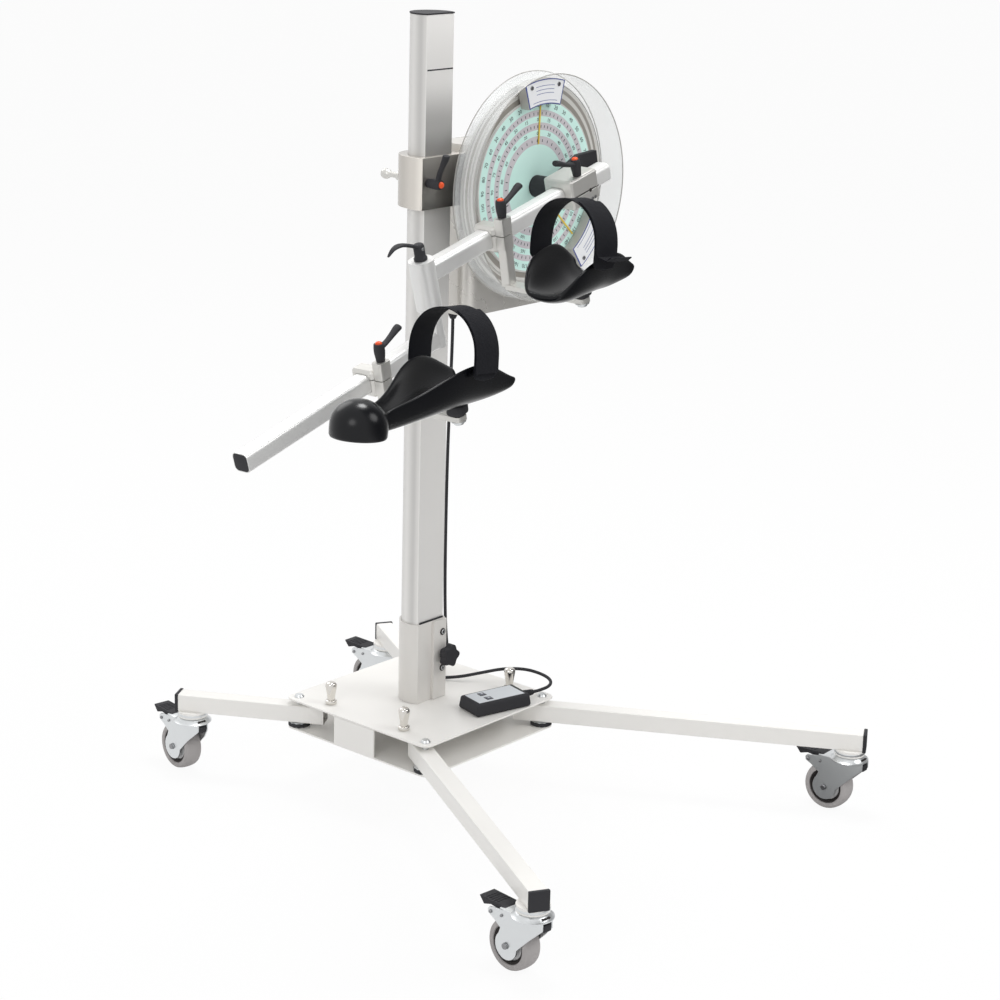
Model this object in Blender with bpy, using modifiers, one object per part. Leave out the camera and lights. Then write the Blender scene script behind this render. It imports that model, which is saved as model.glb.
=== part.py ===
"""Shoulder continuous passive motion machine: the solids of its parts.

Units are metres and degrees. +Z is up, the floor is z = 0 under the column's axis,
the patient sits on the -Y side and +X is to the right seen from there.
"""

import math

import bmesh
import bpy
from mathutils import Matrix, Vector

# General
GAP = 0.0003
SMOOTH_ANGLE = math.radians(35)

# Base plates
PLATE_SIDE = 0.320
PLATE_CORNER = 0.015
PLATE_THICKNESS = 0.003
BOTTOM_PLATE_Z = 0.1005
PLATE_SPACING = 0.047
PANEL_LENGTH = 0.090
PANEL_THICKNESS = 0.003

# Legs
LEG_WIDTH = 0.030
LEG_WALL = 0.002
LEG_CORNER = 0.003
LEG_UNDERSIDE = 0.112
PIVOT_INSET = 0.017
LEG_SPREAD = 30.0
FRONT_LEG_LENGTH = 0.543
REAR_LEG_LENGTH = 0.211
LEG_TAIL = 0.045
LEG_CAP_THICKNESS = 0.004
INDEX_RADIUS = 0.062
INDEX_TAB_THICKNESS = 0.004
INDEX_TAB_WIDTH = 0.018
INDEX_TAB_MARGIN = 12.0
PIN_TURN = 197.0
LEG_SWING = 30.0

# Pivot bolts
BOLT_RADIUS = 0.005
BOLT_HEAD_RADIUS = 0.0085
BOLT_HEAD_HEIGHT = 0.004
WASHER_RADIUS = 0.018

# Index plungers
PLUNGER_PIN_RADIUS = 0.004
PLUNGER_KNOB_RADIUS = 0.0095
PLUNGER_KNOB_HEIGHT = 0.032
PLUNGER_COLLAR_RADIUS = 0.0095
PLUNGER_COLLAR_HEIGHT = 0.006
PLUNGER_ENTRY = 0.003

# Castors
WHEEL_RADIUS = 0.040
WHEEL_WIDTH = 0.031
TREAD_ROUNDING = 0.006
WHEEL_DISC_RADIUS = 0.031
WHEEL_DISC_STEP = 0.002
AXLE_RADIUS = 0.004
AXLE_CLEARANCE = 0.0004
CASTOR_INSET = 0.026
CASTOR_TRAIL = 0.0345
FORK_SIDE_GAP = 0.0015
FORK_THICKNESS = 0.0025
FORK_LOBE_RADIUS = 0.0215
CROWN_RADIUS = 0.031
CROWN_HEIGHT = 0.009
RACE_RADIUS = 0.025
RACE_HEIGHT = 0.009
PEDAL_WIDTH = 0.030
PEDAL_THICKNESS = 0.007
PEDAL_LENGTH = 0.060
PEDAL_REST_TILT = -1.0
CASTOR_LAYOUT = (
    ("front_left", -1, -1, 84.8),
    ("front_right", 1, -1, 93.7),
    ("rear_left", -1, 1, 82.5),
    ("rear_right", 1, 1, 90.0),
)

# Column and its sleeve
COLUMN_RADIUS = 0.035
COLUMN_FLAT = 0.0176
COLUMN_WALL = 0.0025
COLUMN_TOP = 1.2795
CAP_THICKNESS = 0.0025
CAP_PLUG_DEPTH = 0.012
CAP_OVERHANG = 0.001
SLEEVE_WALL = 0.003
SLEEVE_HEIGHT = 0.1375
SLEEVE_BAR_LEFT = 0.001
SLEEVE_BAR_RIGHT = 0.031
SLEEVE_BAR_THICKNESS = 0.005
SLEEVE_KNOB_X = 0.024
SLEEVE_KNOB_Z = 0.230
SLEEVE_KNOB_RADIUS = 0.0195
SLEEVE_KNOB_DEPTH = 0.020
SLEEVE_KNOB_LOBES = 5
LOBE_SHARE = 0.12
SCREW_RADIUS = 0.004

# Carriage
CARRIAGE_BOTTOM = 0.980
CARRIAGE_TOP = 1.062
CARRIAGE_BACK_RADIUS = 0.050
CARRIAGE_FRONT = 0.030
CARRIAGE_LEFT = 0.052
CARRIAGE_BORE_CLEARANCE = 0.0004
CARRIAGE_ARM_DEPTH = 0.050
CARRIAGE_LEVER_X = -0.037
CARRIAGE_LEVER_Z = 1.023
CARRIAGE_PLUNGER_Z = 1.019

# Clamp levers
LEVER_HUB_RADIUS = 0.0085
LEVER_HUB_TOP_RADIUS = 0.0075
LEVER_HUB_HEIGHT = 0.028
LEVER_BUTTON_RADIUS = 0.005
LEVER_BUTTON_HEIGHT = 0.003
LEVER_ARM_LENGTH = 0.046
LEVER_ARM_RISE = 0.0115
LEVER_ARM_RADIUS = 0.0052

# Drive housing
HOUSING_LEFT = 0.062
HOUSING_RIGHT = 0.285
HOUSING_FRONT = -0.030
HOUSING_BACK = 0.070
HOUSING_WALL = 0.003
HOUSING_CORNER = 0.024
COVER_THICKNESS = 0.003
INLET_WIDTH = 0.028
INLET_HEIGHT = 0.020
INLET_DEPTH = 0.0015
INLET_X = 0.230
INLET_RISE = 0.035

# Drive
DRIVE_X = 0.1853
DRIVE_Z = 0.9996
HOUSING_BELOW_DRIVE = 0.2046
HOUSING_ABOVE_DRIVE = 0.0724
SHAFT_RADIUS = 0.011
SHAFT_CLEARANCE = 0.0004
MOTOR_WIDTH = 0.080
MOTOR_HEIGHT = 0.110
MOTOR_DEPTH = 0.055
BOARD_WIDTH = 0.120
BOARD_HEIGHT = 0.050
BOARD_THICKNESS = 0.0016
BOARD_DROP = 0.120
HUB_RADIUS = 0.018
FINGER_OUTLINE = ((0.0, -0.011), (0.113, 0.004), (0.114, 0.024), (0.070, 0.032), (0.0, 0.016))
FINGER_THICKNESS = 0.010

# Clear pan and dial
PAN_RADIUS = 0.1845
PAN_WALL = 0.003
PAN_BACK_Y = -0.047
PAN_FRONT_Y = -0.096
RING_RADIUS = 0.170
RING_STEP_RADIUS = 0.155
DIAL_RADIUS = 0.141
RING_THICKNESS = 0.006
RING_STEP = 0.003
DIAL_THICKNESS = 0.012
STOP_INNER_RADIUS = 0.134
STOP_OUTER_RADIUS = 0.175
STOP_HALF_ANGLE = 16.4
STOP_LIP_WIDTH = 0.032
STOP_DEPTH = 0.018
STOP_ANGLES = (("top", 92.0), ("low", -39.0))

# Arm
ARM_Y = -0.130
ARM_TILT = 15.2
ARM_TUBE = 0.030
ARM_CORNER = 0.008
ARM_WALL = 0.0025
UPPER_RIGHT_END = 0.091
ELBOW_X = -0.349
ELBOW_RADIUS = 0.020
ELBOW_TOP = 0.024
ELBOW_BOTTOM = -0.052
ELBOW_PIN_RADIUS = 0.007
ELBOW_WASHER = 0.004
KNUCKLE_RADIUS = 0.016
ELBOW_LEVER_RADIUS = 0.0042
ELBOW_LEVER_PATH = ((0.0, 0.018), (0.016, 0.029), (0.036, 0.039), (0.052, 0.039), (0.066, 0.031))
FOREARM_YAW = 2.0
FOREARM_TILT = 0.5
FOREARM_DROP = 0.104
FOREARM_LENGTH = 0.432
END_CAP_THICKNESS = 0.004
DRAIN_RADIUS = 0.002
DRAIN_INSET = 0.010
MAIN_CLAMP_LENGTH = 0.066
MAIN_CLAMP_SHIFT = 0.007
MAIN_CLAMP_TOP = 0.029
MAIN_CLAMP_BOTTOM = -0.021
MAIN_CLAMP_FRONT = 0.032
CLAMP_SLIT = 0.0015
MAIN_LEVER_X = 0.001
MAIN_LEVER_Y = 0.023

# Pad clamps
PAD_CLAMP_WALL = 0.006
PAD_CLAMP_LENGTH = 0.026
BOSS_WIDTH = 0.024
BOSS_DEPTH = 0.020
BOSS_REACH = 0.027
BOSS_TOP = 0.0345
BOSS_SLIT_Z = 0.0077
BOSS_Y = -0.003
BOSS_CORNER = 0.005
POST_WIDTH = 0.018
POST_CORNER = 0.003
BRACKET_WIDTH = 0.021
BRACKET_THICKNESS = 0.008
PIVOT_PIN_RADIUS = 0.005
PIVOT_HEAD_RADIUS = 0.011
PIVOT_HEAD_HEIGHT = 0.006
BLOCK_WIDTH = 0.026
BLOCK_HEIGHT = 0.015
UPPER_BLOCK_HEIGHT = 0.010
PAD_YAW = 12.0
PAD_TILT = 16.0
BRACKET_TILT = 11.0
UPPER_CLAMP_X = -0.194
UPPER_POST_DROP = 0.080
UPPER_PIN_REACH = 0.149
FOREARM_CLAMP_X = -0.155
FOREARM_POST_DROP = 0.034
FOREARM_PIN_REACH = 0.143

# Pads and straps
PAD_SHELL = 0.006
PAD_SECTION_STEPS = 8
PAD_HALF_WIDTH = 0.053
UPPER_PAD_REACH = 0.128
UPPER_PAD_RIM = 0.068
FOREARM_PAD_REACH = 0.242
FOREARM_PAD_RIM = 0.072
PALM_RADIUS = 0.0405
PALM_HEIGHT = 0.054
PALM_SINK = 0.0135
PALM_X = -0.272
PALM_Y = 0.008
STRAP_THICKNESS = 0.003
STRAP_WIDTH = 0.050
STRAP_HOLD = 0.030
STRAP_STEPS = 20
STRAP_TURN = -15.0
UPPER_STRAP_X = -0.045
UPPER_STRAP_FOOT = 0.070
UPPER_STRAP_ARCH = 0.072
FOREARM_STRAP_X = -0.030
FOREARM_STRAP_FOOT = 0.076
FOREARM_STRAP_ARCH = 0.070

# Handset and its cord
HANDSET_LENGTH = 0.108
HANDSET_WIDTH = 0.058
HANDSET_HEIGHT = 0.022
HANDSET_CORNER = 0.008
HANDSET_CENTRE = (0.050, -0.120)
HANDSET_TURN = -14.0
HANDSET_BOOT_LENGTH = 0.022
HANDSET_BOOT_RADIUS = 0.0045
BUTTON_SIZE = 0.009
BUTTON_HEIGHT = 0.0025
BUTTON_TRAVEL = 0.001
BUTTON_SPACING = 0.020
CORD_RADIUS = 0.0027
GLAND_RADIUS = 0.008
GLAND_HEIGHT = 0.014
GLAND_X = 0.088
GLAND_Y = 0.025

# Worked out from the values above
TOP_PLATE_Z = BOTTOM_PLATE_Z + PLATE_THICKNESS + PLATE_SPACING
PLATE_TOP = TOP_PLATE_Z + PLATE_THICKNESS
PIVOT_OFFSET = PLATE_SIDE / 2 - PIVOT_INSET
LEG_MIDDLE_Z = LEG_UNDERSIDE + LEG_WIDTH / 2
LEG_TOP_Z = LEG_UNDERSIDE + LEG_WIDTH
TAB_TOP_Z = LEG_TOP_Z + INDEX_TAB_THICKNESS
CROWN_TOP_Z = LEG_UNDERSIDE - RACE_HEIGHT - GAP
CROWN_BOTTOM_Z = CROWN_TOP_Z - CROWN_HEIGHT
SLEEVE_TOP = PLATE_TOP + SLEEVE_HEIGHT
SLEEVE_OUTER = COLUMN_RADIUS + SLEEVE_WALL + GAP
SLEEVE_FLAT = COLUMN_FLAT + SLEEVE_WALL + GAP
HOUSING_BOTTOM = DRIVE_Z - HOUSING_BELOW_DRIVE
HOUSING_TOP = DRIVE_Z + HOUSING_ABOVE_DRIVE
DIAL_FRONT_Y = PAN_BACK_Y - PAN_WALL - GAP - DIAL_THICKNESS


def clear_scene():
    for item in list(bpy.data.objects):
        bpy.data.objects.remove(item, do_unlink=True)


def make_collection(name):
    collection = bpy.data.collections.new(name)
    bpy.context.scene.collection.children.link(collection)
    return collection


def make_material(name, colour, roughness, metallic=0.0, alpha=1.0):
    material = bpy.data.materials.new(name)
    material.use_nodes = True
    shader = material.node_tree.nodes["Principled BSDF"]
    shader.inputs["Base Color"].default_value = (*colour, 1.0)
    shader.inputs["Roughness"].default_value = roughness
    shader.inputs["Metallic"].default_value = metallic
    shader.inputs["Alpha"].default_value = alpha
    return material


clear_scene()
PARTS = make_collection("shoulder_motion_machine")
CUTTERS = make_collection("cutters")

FINISHES = {
    "paint": ((0.78, 0.77, 0.73), 0.35, 0.0),
    "column_paint": ((0.66, 0.65, 0.61), 0.4, 0.2),
    "polished": ((0.72, 0.70, 0.66), 0.15, 1.0),
    "aluminium": ((0.80, 0.80, 0.79), 0.3, 1.0),
    "zinc": ((0.72, 0.73, 0.74), 0.3, 1.0),
    "black_plastic": ((0.02, 0.02, 0.022), 0.4, 0.0),
    "tyre_grey": ((0.22, 0.20, 0.20), 0.7, 0.0),
    "pad_black": ((0.012, 0.014, 0.018), 0.3, 0.0),
    "webbing": ((0.02, 0.022, 0.03), 0.85, 0.0),
    "clear": ((0.9, 0.92, 0.92), 0.05, 0.0, 0.25),
    "dial": ((0.62, 0.84, 0.80), 0.35, 0.0),
    "board_green": ((0.05, 0.25, 0.12), 0.5, 0.0),
    "motor_steel": ((0.35, 0.36, 0.38), 0.4, 1.0),
    "button_grey": ((0.30, 0.31, 0.36), 0.5, 0.0),
}


def finish(name, kind):
    return make_material(name + "_finish", *FINISHES[kind])


def empty(name, location=(0, 0, 0), turn=(0, 0, 0), parent=None):
    """An empty at a joint or a local frame; turn is in degrees about X, Y and Z."""
    frame = bpy.data.objects.new(name, None)
    frame.location = location
    frame.rotation_euler = [math.radians(angle) for angle in turn]
    frame.parent = parent
    PARTS.objects.link(frame)
    return frame


def adopt(name, mesh, parent):
    piece = bpy.data.objects.new(name, mesh)
    piece.parent = parent
    PARTS.objects.link(piece)
    return piece


def mesh_object(name, build, parent=None):
    """An object whose mesh the given function fills through bmesh."""
    mesh = bpy.data.meshes.new(name)
    bm = bmesh.new()
    build(bm)
    bmesh.ops.recalc_face_normals(bm, faces=bm.faces)
    bm.to_mesh(mesh)
    bm.free()
    return adopt(name, mesh, parent)


def box(name, size, centre, parent=None, rounding=0.0, steps=2):
    def build(bm):
        place = Matrix.Translation(centre) @ Matrix.Diagonal((*size, 1.0))
        bmesh.ops.create_cube(bm, size=1.0, matrix=place)
        if rounding:
            bmesh.ops.bevel(bm, geom=bm.edges[:], offset=rounding, segments=steps,
                            profile=0.5, affect="EDGES", clamp_overlap=True)
    return mesh_object(name, build, parent)


def bar(name, size, centre, along, corner, parent=None, steps=3):
    """A box with only the four edges along one axis (0, 1 or 2) rounded."""
    def build(bm):
        place = Matrix.Translation(centre) @ Matrix.Diagonal((*size, 1.0))
        bmesh.ops.create_cube(bm, size=1.0, matrix=place)
        edges = []
        for edge in bm.edges:
            run = edge.verts[1].co - edge.verts[0].co
            if abs(run[along]) > 0.9 * run.length:
                edges.append(edge)
        bmesh.ops.bevel(bm, geom=edges, offset=corner, segments=steps,
                        profile=0.5, affect="EDGES", clamp_overlap=True)
    return mesh_object(name, build, parent)


def rod(name, radius, start, end, parent=None, sides=20, end_radius=None):
    """A cylinder, or a cone when end_radius is given, between two points."""
    start = Vector(start)
    end = Vector(end)
    turn = (end - start).to_track_quat("Z", "Y").to_matrix().to_4x4()
    place = Matrix.Translation((start + end) / 2) @ turn

    def build(bm):
        bmesh.ops.create_cone(bm, cap_ends=True, segments=sides, radius1=radius,
                              radius2=radius if end_radius is None else end_radius,
                              depth=(end - start).length, matrix=place)
    return mesh_object(name, build, parent)


def turned(name, profile, parent=None, steps=24, location=(0, 0, 0), turn=(0, 0, 0)):
    """A profile of (radius, height) points, top to bottom, spun about Z with Screw."""
    mesh = bpy.data.meshes.new(name)
    points = [(radius, 0.0, height) for radius, height in profile]
    mesh.from_pydata(points, [(i, i + 1) for i in range(len(points) - 1)], [])
    piece = adopt(name, mesh, parent)
    piece.location = location
    piece.rotation_euler = [math.radians(angle) for angle in turn]
    screw = piece.modifiers.new("spin", "SCREW")
    screw.steps = steps
    screw.render_steps = steps
    screw.use_merge_vertices = True
    screw.merge_threshold = 0.00002
    return piece


def outline(name, points, thickness, place, parent=None):
    """A flat outline drawn in XY, filled, given a thickness and put in place as a mesh."""
    curve = bpy.data.curves.new(name, "CURVE")
    curve.dimensions = "2D"
    curve.fill_mode = "BOTH"
    curve.extrude = thickness / 2
    spline = curve.splines.new("POLY")
    spline.points.add(len(points) - 1)
    for point, (x, y) in zip(spline.points, points):
        point.co = (x, y, 0.0, 1.0)
    spline.use_cyclic_u = True
    return curve_to_mesh(name, curve, place, parent)


def curve_to_mesh(name, curve, place, parent=None):
    draft = bpy.data.objects.new(name + "_draft", curve)
    PARTS.objects.link(draft)
    graph = bpy.context.evaluated_depsgraph_get()
    mesh = bpy.data.meshes.new_from_object(draft.evaluated_get(graph))
    bpy.data.objects.remove(draft, do_unlink=True)
    bm = bmesh.new()
    bm.from_mesh(mesh)
    bmesh.ops.remove_doubles(bm, verts=bm.verts, dist=0.00001)
    bm.transform(place)
    bmesh.ops.recalc_face_normals(bm, faces=bm.faces)
    bm.to_mesh(mesh)
    bm.free()
    return adopt(name, mesh, parent)


def tube(name, points, radius, parent=None, resolution=2):
    """An unbroken round tube through the points, with filled ends."""
    curve = bpy.data.curves.new(name, "CURVE")
    curve.dimensions = "3D"
    curve.bevel_depth = radius
    curve.bevel_resolution = resolution
    curve.use_fill_caps = True
    spline = curve.splines.new("POLY")
    spline.points.add(len(points) - 1)
    for point, place in zip(spline.points, points):
        point.co = (*place, 1.0)
    return curve_to_mesh(name, curve, Matrix.Identity(4), parent)


def combine(target, others, operation):
    for other in others:
        modifier = target.modifiers.new(operation.lower(), "BOOLEAN")
        modifier.operation = operation
        modifier.solver = "EXACT"
        modifier.object = other
        PARTS.objects.unlink(other)
        CUTTERS.objects.link(other)
        other.hide_render = True
        other.display_type = "WIRE"
    return target


def join(target, *others):
    return combine(target, others, "UNION")


def cut(target, *others):
    return combine(target, others, "DIFFERENCE")


def dress(piece, kind, smooth=True):
    """Give a finished piece its own material and its shading."""
    piece.data.materials.clear()
    piece.data.materials.append(finish(piece.name, kind))
    if smooth:
        for polygon in piece.data.polygons:
            polygon.use_smooth = True
        if piece.data.polygons:
            piece.data.set_sharp_from_angle(angle=SMOOTH_ANGLE)
    return piece


def ring_points(radius, start, stop, count):
    """Points on an arc in XY, both ends included; angles in degrees."""
    points = []
    for i in range(count):
        angle = math.radians(start + (stop - start) * i / (count - 1))
        points.append((radius * math.cos(angle), radius * math.sin(angle)))
    return points


def d_section(radius, flat, count=22):
    """The column's section: a circle cut by a flat on its front side."""
    edge = math.degrees(math.asin(flat / radius))
    return ring_points(radius, -edge, 180 + edge, count)


def d_bar(name, radius, flat, low, high, parent=None, count=22):
    place = Matrix.Translation((0, 0, (low + high) / 2))
    return outline(name, d_section(radius, flat, count), high - low, place, parent)


def leg_angle(side, end):
    """World direction in degrees of a leg on one side (-1 or 1) and end (-1 front, 1 rear)."""
    return end * (90 - side * LEG_SPREAD)


def pin_place(side, end):
    """Where the index pin of one leg passes the top plate."""
    angle = math.radians(leg_angle(side, end) + pin_turn(side, end))
    return (side * PIVOT_OFFSET + INDEX_RADIUS * math.cos(angle),
            end * PIVOT_OFFSET + INDEX_RADIUS * math.sin(angle))


def pin_turn(side, end):
    """Angle from a leg's direction to its index pin, mirrored for mirrored legs."""
    return side * end * PIN_TURN


def build_plates(root):
    half = PLATE_SIDE / 2
    middle = BOTTOM_PLATE_Z + PLATE_THICKNESS / 2
    bottom = bar("bottom_plate", (PLATE_SIDE, PLATE_SIDE, PLATE_THICKNESS), (0, 0, middle), 2,
                 PLATE_CORNER, root, 4)
    for side in (-1, 1):
        low = BOTTOM_PLATE_Z + PLATE_THICKNESS / 2
        high = TOP_PLATE_Z - GAP
        panel = box("panel", (PANEL_THICKNESS, PANEL_LENGTH, high - low),
                    (side * (half - PANEL_THICKNESS / 2), 0, (low + high) / 2), root)
        join(bottom, panel)
    top = bar("top_plate", (PLATE_SIDE, PLATE_SIDE, PLATE_THICKNESS),
              (0, 0, TOP_PLATE_Z + PLATE_THICKNESS / 2), 2, PLATE_CORNER, root, 4)
    for _, side, end, _ in CASTOR_LAYOUT:
        x = side * PIVOT_OFFSET
        y = end * PIVOT_OFFSET
        for plate, low in ((bottom, BOTTOM_PLATE_Z), (top, TOP_PLATE_Z)):
            cut(plate, rod("bolt_hole", BOLT_RADIUS + GAP, (x, y, low - GAP),
                           (x, y, low + PLATE_THICKNESS + GAP), root, 12))
        px, py = pin_place(side, end)
        cut(top, rod("pin_hole", PLUNGER_PIN_RADIUS + GAP, (px, py, TOP_PLATE_Z - GAP),
                     (px, py, PLATE_TOP + GAP), root, 12))
    dress(bottom, "paint", False)
    dress(top, "paint", False)


def build_pivot_bolt(label, side, end, root):
    x = side * PIVOT_OFFSET
    y = end * PIVOT_OFFSET
    nut_top = BOTTOM_PLATE_Z - GAP
    head_bottom = PLATE_TOP + GAP
    washer_bottom = BOTTOM_PLATE_Z + PLATE_THICKNESS + GAP
    washer_top = LEG_UNDERSIDE - GAP
    bolt = turned("pivot_bolt_" + label, (
        (0.0, head_bottom + BOLT_HEAD_HEIGHT),
        (BOLT_HEAD_RADIUS * 0.7, head_bottom + BOLT_HEAD_HEIGHT),
        (BOLT_HEAD_RADIUS, head_bottom),
        (BOLT_RADIUS, head_bottom),
        (BOLT_RADIUS, washer_top),
        (WASHER_RADIUS, washer_top),
        (WASHER_RADIUS, washer_bottom),
        (BOLT_RADIUS, washer_bottom),
        (BOLT_RADIUS, nut_top),
        (BOLT_HEAD_RADIUS, nut_top),
        (BOLT_HEAD_RADIUS, nut_top - BOLT_HEAD_HEIGHT),
        (0.0, nut_top - BOLT_HEAD_HEIGHT),
    ), root, 12, (x, y, 0))
    dress(bolt, "zinc")


def build_leg(label, side, end, root):
    """A leg in its own frame: the tube runs along +X from the pivot, which is the frame's origin."""
    length = FRONT_LEG_LENGTH if end < 0 else REAR_LEG_LENGTH
    angle = leg_angle(side, end)
    pivot = empty("leg_pivot_" + label, (side * PIVOT_OFFSET, end * PIVOT_OFFSET, 0), (0, 0, angle), root)
    leg = bar("leg_" + label, (length + LEG_TAIL, LEG_WIDTH, LEG_WIDTH),
              ((length - LEG_TAIL) / 2, 0, LEG_MIDDLE_Z), 0, LEG_CORNER, pivot, 2)
    inner = LEG_WIDTH - 2 * LEG_WALL
    hollow_end = length - LEG_CAP_THICKNESS
    hollow_start = -LEG_TAIL - LEG_WALL
    cut(leg, box("leg_hollow", (hollow_end - hollow_start, inner, inner),
                 ((hollow_end + hollow_start) / 2, 0, LEG_MIDDLE_Z), pivot))
    middle_turn = pin_turn(side, end) - side * end * LEG_SWING / 2
    half_turn = LEG_SWING / 2 + INDEX_TAB_MARGIN
    tab_points = ring_points(INDEX_RADIUS + INDEX_TAB_WIDTH / 2, middle_turn - half_turn,
                             middle_turn + half_turn, 9)
    tab_points += ring_points(LEG_TAIL / 2, middle_turn + half_turn, middle_turn - half_turn, 5)
    tab_z = LEG_TOP_Z + INDEX_TAB_THICKNESS / 2 - GAP
    tab = outline("index_tab", tab_points, INDEX_TAB_THICKNESS, Matrix.Translation((0, 0, tab_z)), pivot)
    join(leg, tab)
    slot_radius = PLUNGER_PIN_RADIUS + GAP
    slot_turn = LEG_SWING / 2 + 1
    slot_points = ring_points(INDEX_RADIUS + slot_radius, middle_turn - slot_turn, middle_turn + slot_turn, 9)
    slot_points += ring_points(INDEX_RADIUS - slot_radius, middle_turn + slot_turn,
                               middle_turn - slot_turn, 9)
    slot_place = Matrix.Translation((0, 0, tab_z))
    cut(leg, outline("index_slot", slot_points, 3 * INDEX_TAB_THICKNESS, slot_place, pivot))
    for turn in (middle_turn - slot_turn, middle_turn + slot_turn):
        x, y = ring_points(INDEX_RADIUS, turn, turn + 1, 2)[0]
        cut(leg, rod("slot_end", slot_radius, (x, y, tab_z - 1.5 * INDEX_TAB_THICKNESS),
                     (x, y, tab_z + 1.5 * INDEX_TAB_THICKNESS), pivot, 16))
    race_x = length - CASTOR_INSET
    join(leg, rod("race", RACE_RADIUS, (race_x, 0, LEG_UNDERSIDE - RACE_HEIGHT),
                  (race_x, 0, LEG_UNDERSIDE + LEG_WALL / 2), pivot, 18))
    cut(leg, rod("leg_bolt_hole", BOLT_RADIUS + GAP, (0, 0, LEG_UNDERSIDE - GAP),
                 (0, 0, TAB_TOP_Z + GAP), pivot, 12))
    dress(leg, "paint", False)
    return pivot, race_x


def build_index_plunger(label, side, end, root):
    x, y = pin_place(side, end)
    frame = empty("index_plunger_frame_" + label, (x, y, PLATE_TOP + GAP), (0, 0, 0), root)
    pin_bottom = TAB_TOP_Z - PLUNGER_ENTRY - PLATE_TOP
    collar = PLUNGER_COLLAR_HEIGHT
    top = collar + PLUNGER_KNOB_HEIGHT
    plunger = turned("index_plunger_" + label, (
        (0.0, top),
        (PLUNGER_KNOB_RADIUS * 0.75, top),
        (PLUNGER_KNOB_RADIUS, top - 0.003),
        (PLUNGER_KNOB_RADIUS * 0.72, top * 0.45),
        (PLUNGER_KNOB_RADIUS * 0.62, collar),
        (PLUNGER_COLLAR_RADIUS, collar),
        (PLUNGER_COLLAR_RADIUS, 0.0),
        (PLUNGER_PIN_RADIUS, 0.0),
        (PLUNGER_PIN_RADIUS, pin_bottom),
        (0.0, pin_bottom),
    ), frame, 12)
    dress(plunger, "polished")


def build_castor(label, heading, pivot, race_x, leg_turn):
    """A fork, wheel and pedal; the fork's frame sits on its swivel axis with +X to the trailing side."""
    swivel = empty("swivel_" + label, (race_x, 0, 0), (0, 0, heading - leg_turn), pivot)
    inside = WHEEL_WIDTH / 2 + FORK_SIDE_GAP
    axle_place = (CASTOR_TRAIL, WHEEL_RADIUS)
    fork = rod("castor_fork_" + label, CROWN_RADIUS * 0.75, (0, 0, CROWN_TOP_Z), (0, 0, CROWN_BOTTOM_Z),
               swivel, 18, CROWN_RADIUS)
    join(fork, rod("kingpin", BOLT_RADIUS, (0, 0, CROWN_BOTTOM_Z), (0, 0, CROWN_BOTTOM_Z - 0.003),
                   swivel, 8))
    lobe = [(axle_place[0] + x, axle_place[1] + y) for x, y in ring_points(FORK_LOBE_RADIUS, 180, 405, 8)]
    side_points = [
        (-CROWN_RADIUS, CROWN_BOTTOM_Z + 0.001),
        (-CROWN_RADIUS, CROWN_BOTTOM_Z - 0.011),
    ] + lobe + [
        (CASTOR_TRAIL + 0.012, WHEEL_RADIUS + 0.024),
        (CASTOR_TRAIL + 0.027, WHEEL_RADIUS + 0.034),
        (CASTOR_TRAIL + 0.037, WHEEL_RADIUS + 0.040),
        (CASTOR_TRAIL + 0.037, WHEEL_RADIUS + 0.048),
        (CROWN_RADIUS * 0.8, CROWN_BOTTOM_Z + 0.001),
    ]
    for hand in (-1, 1):
        y = hand * (inside + FORK_THICKNESS / 2)
        place = Matrix.Translation((0, y, 0)) @ Matrix.Rotation(math.radians(90), 4, "X")
        join(fork, outline("fork_side", side_points, FORK_THICKNESS, place, swivel))
    axle_half = inside + FORK_THICKNESS + 0.002
    join(fork, rod("axle", AXLE_RADIUS, (CASTOR_TRAIL, -axle_half, WHEEL_RADIUS),
                   (CASTOR_TRAIL, axle_half, WHEEL_RADIUS), swivel, 12))
    dress(fork, "zinc")
    build_wheel(label, swivel)
    build_pedal(label, swivel, inside)


def build_wheel(label, swivel):
    axle = empty("axle_" + label, (CASTOR_TRAIL, 0, WHEEL_RADIUS), (90, 0, 0), swivel)
    half = WHEEL_WIDTH / 2
    disc = half - WHEEL_DISC_STEP
    bore = AXLE_RADIUS + AXLE_CLEARANCE
    profile = (
        (bore, disc),
        (WHEEL_DISC_RADIUS, disc),
        (WHEEL_DISC_RADIUS, half),
        (WHEEL_RADIUS - TREAD_ROUNDING, half),
        (WHEEL_RADIUS - TREAD_ROUNDING * 0.3, half - TREAD_ROUNDING * 0.3),
        (WHEEL_RADIUS, half - TREAD_ROUNDING),
        (WHEEL_RADIUS, TREAD_ROUNDING - half),
        (WHEEL_RADIUS - TREAD_ROUNDING * 0.3, TREAD_ROUNDING * 0.3 - half),
        (WHEEL_RADIUS - TREAD_ROUNDING, -half),
        (WHEEL_DISC_RADIUS, -half),
        (WHEEL_DISC_RADIUS, -disc),
        (bore, -disc),
        (bore, disc),
    )
    wheel = turned("wheel_" + label, profile, axle, 20)
    dress(wheel, "tyre_grey")


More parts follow.
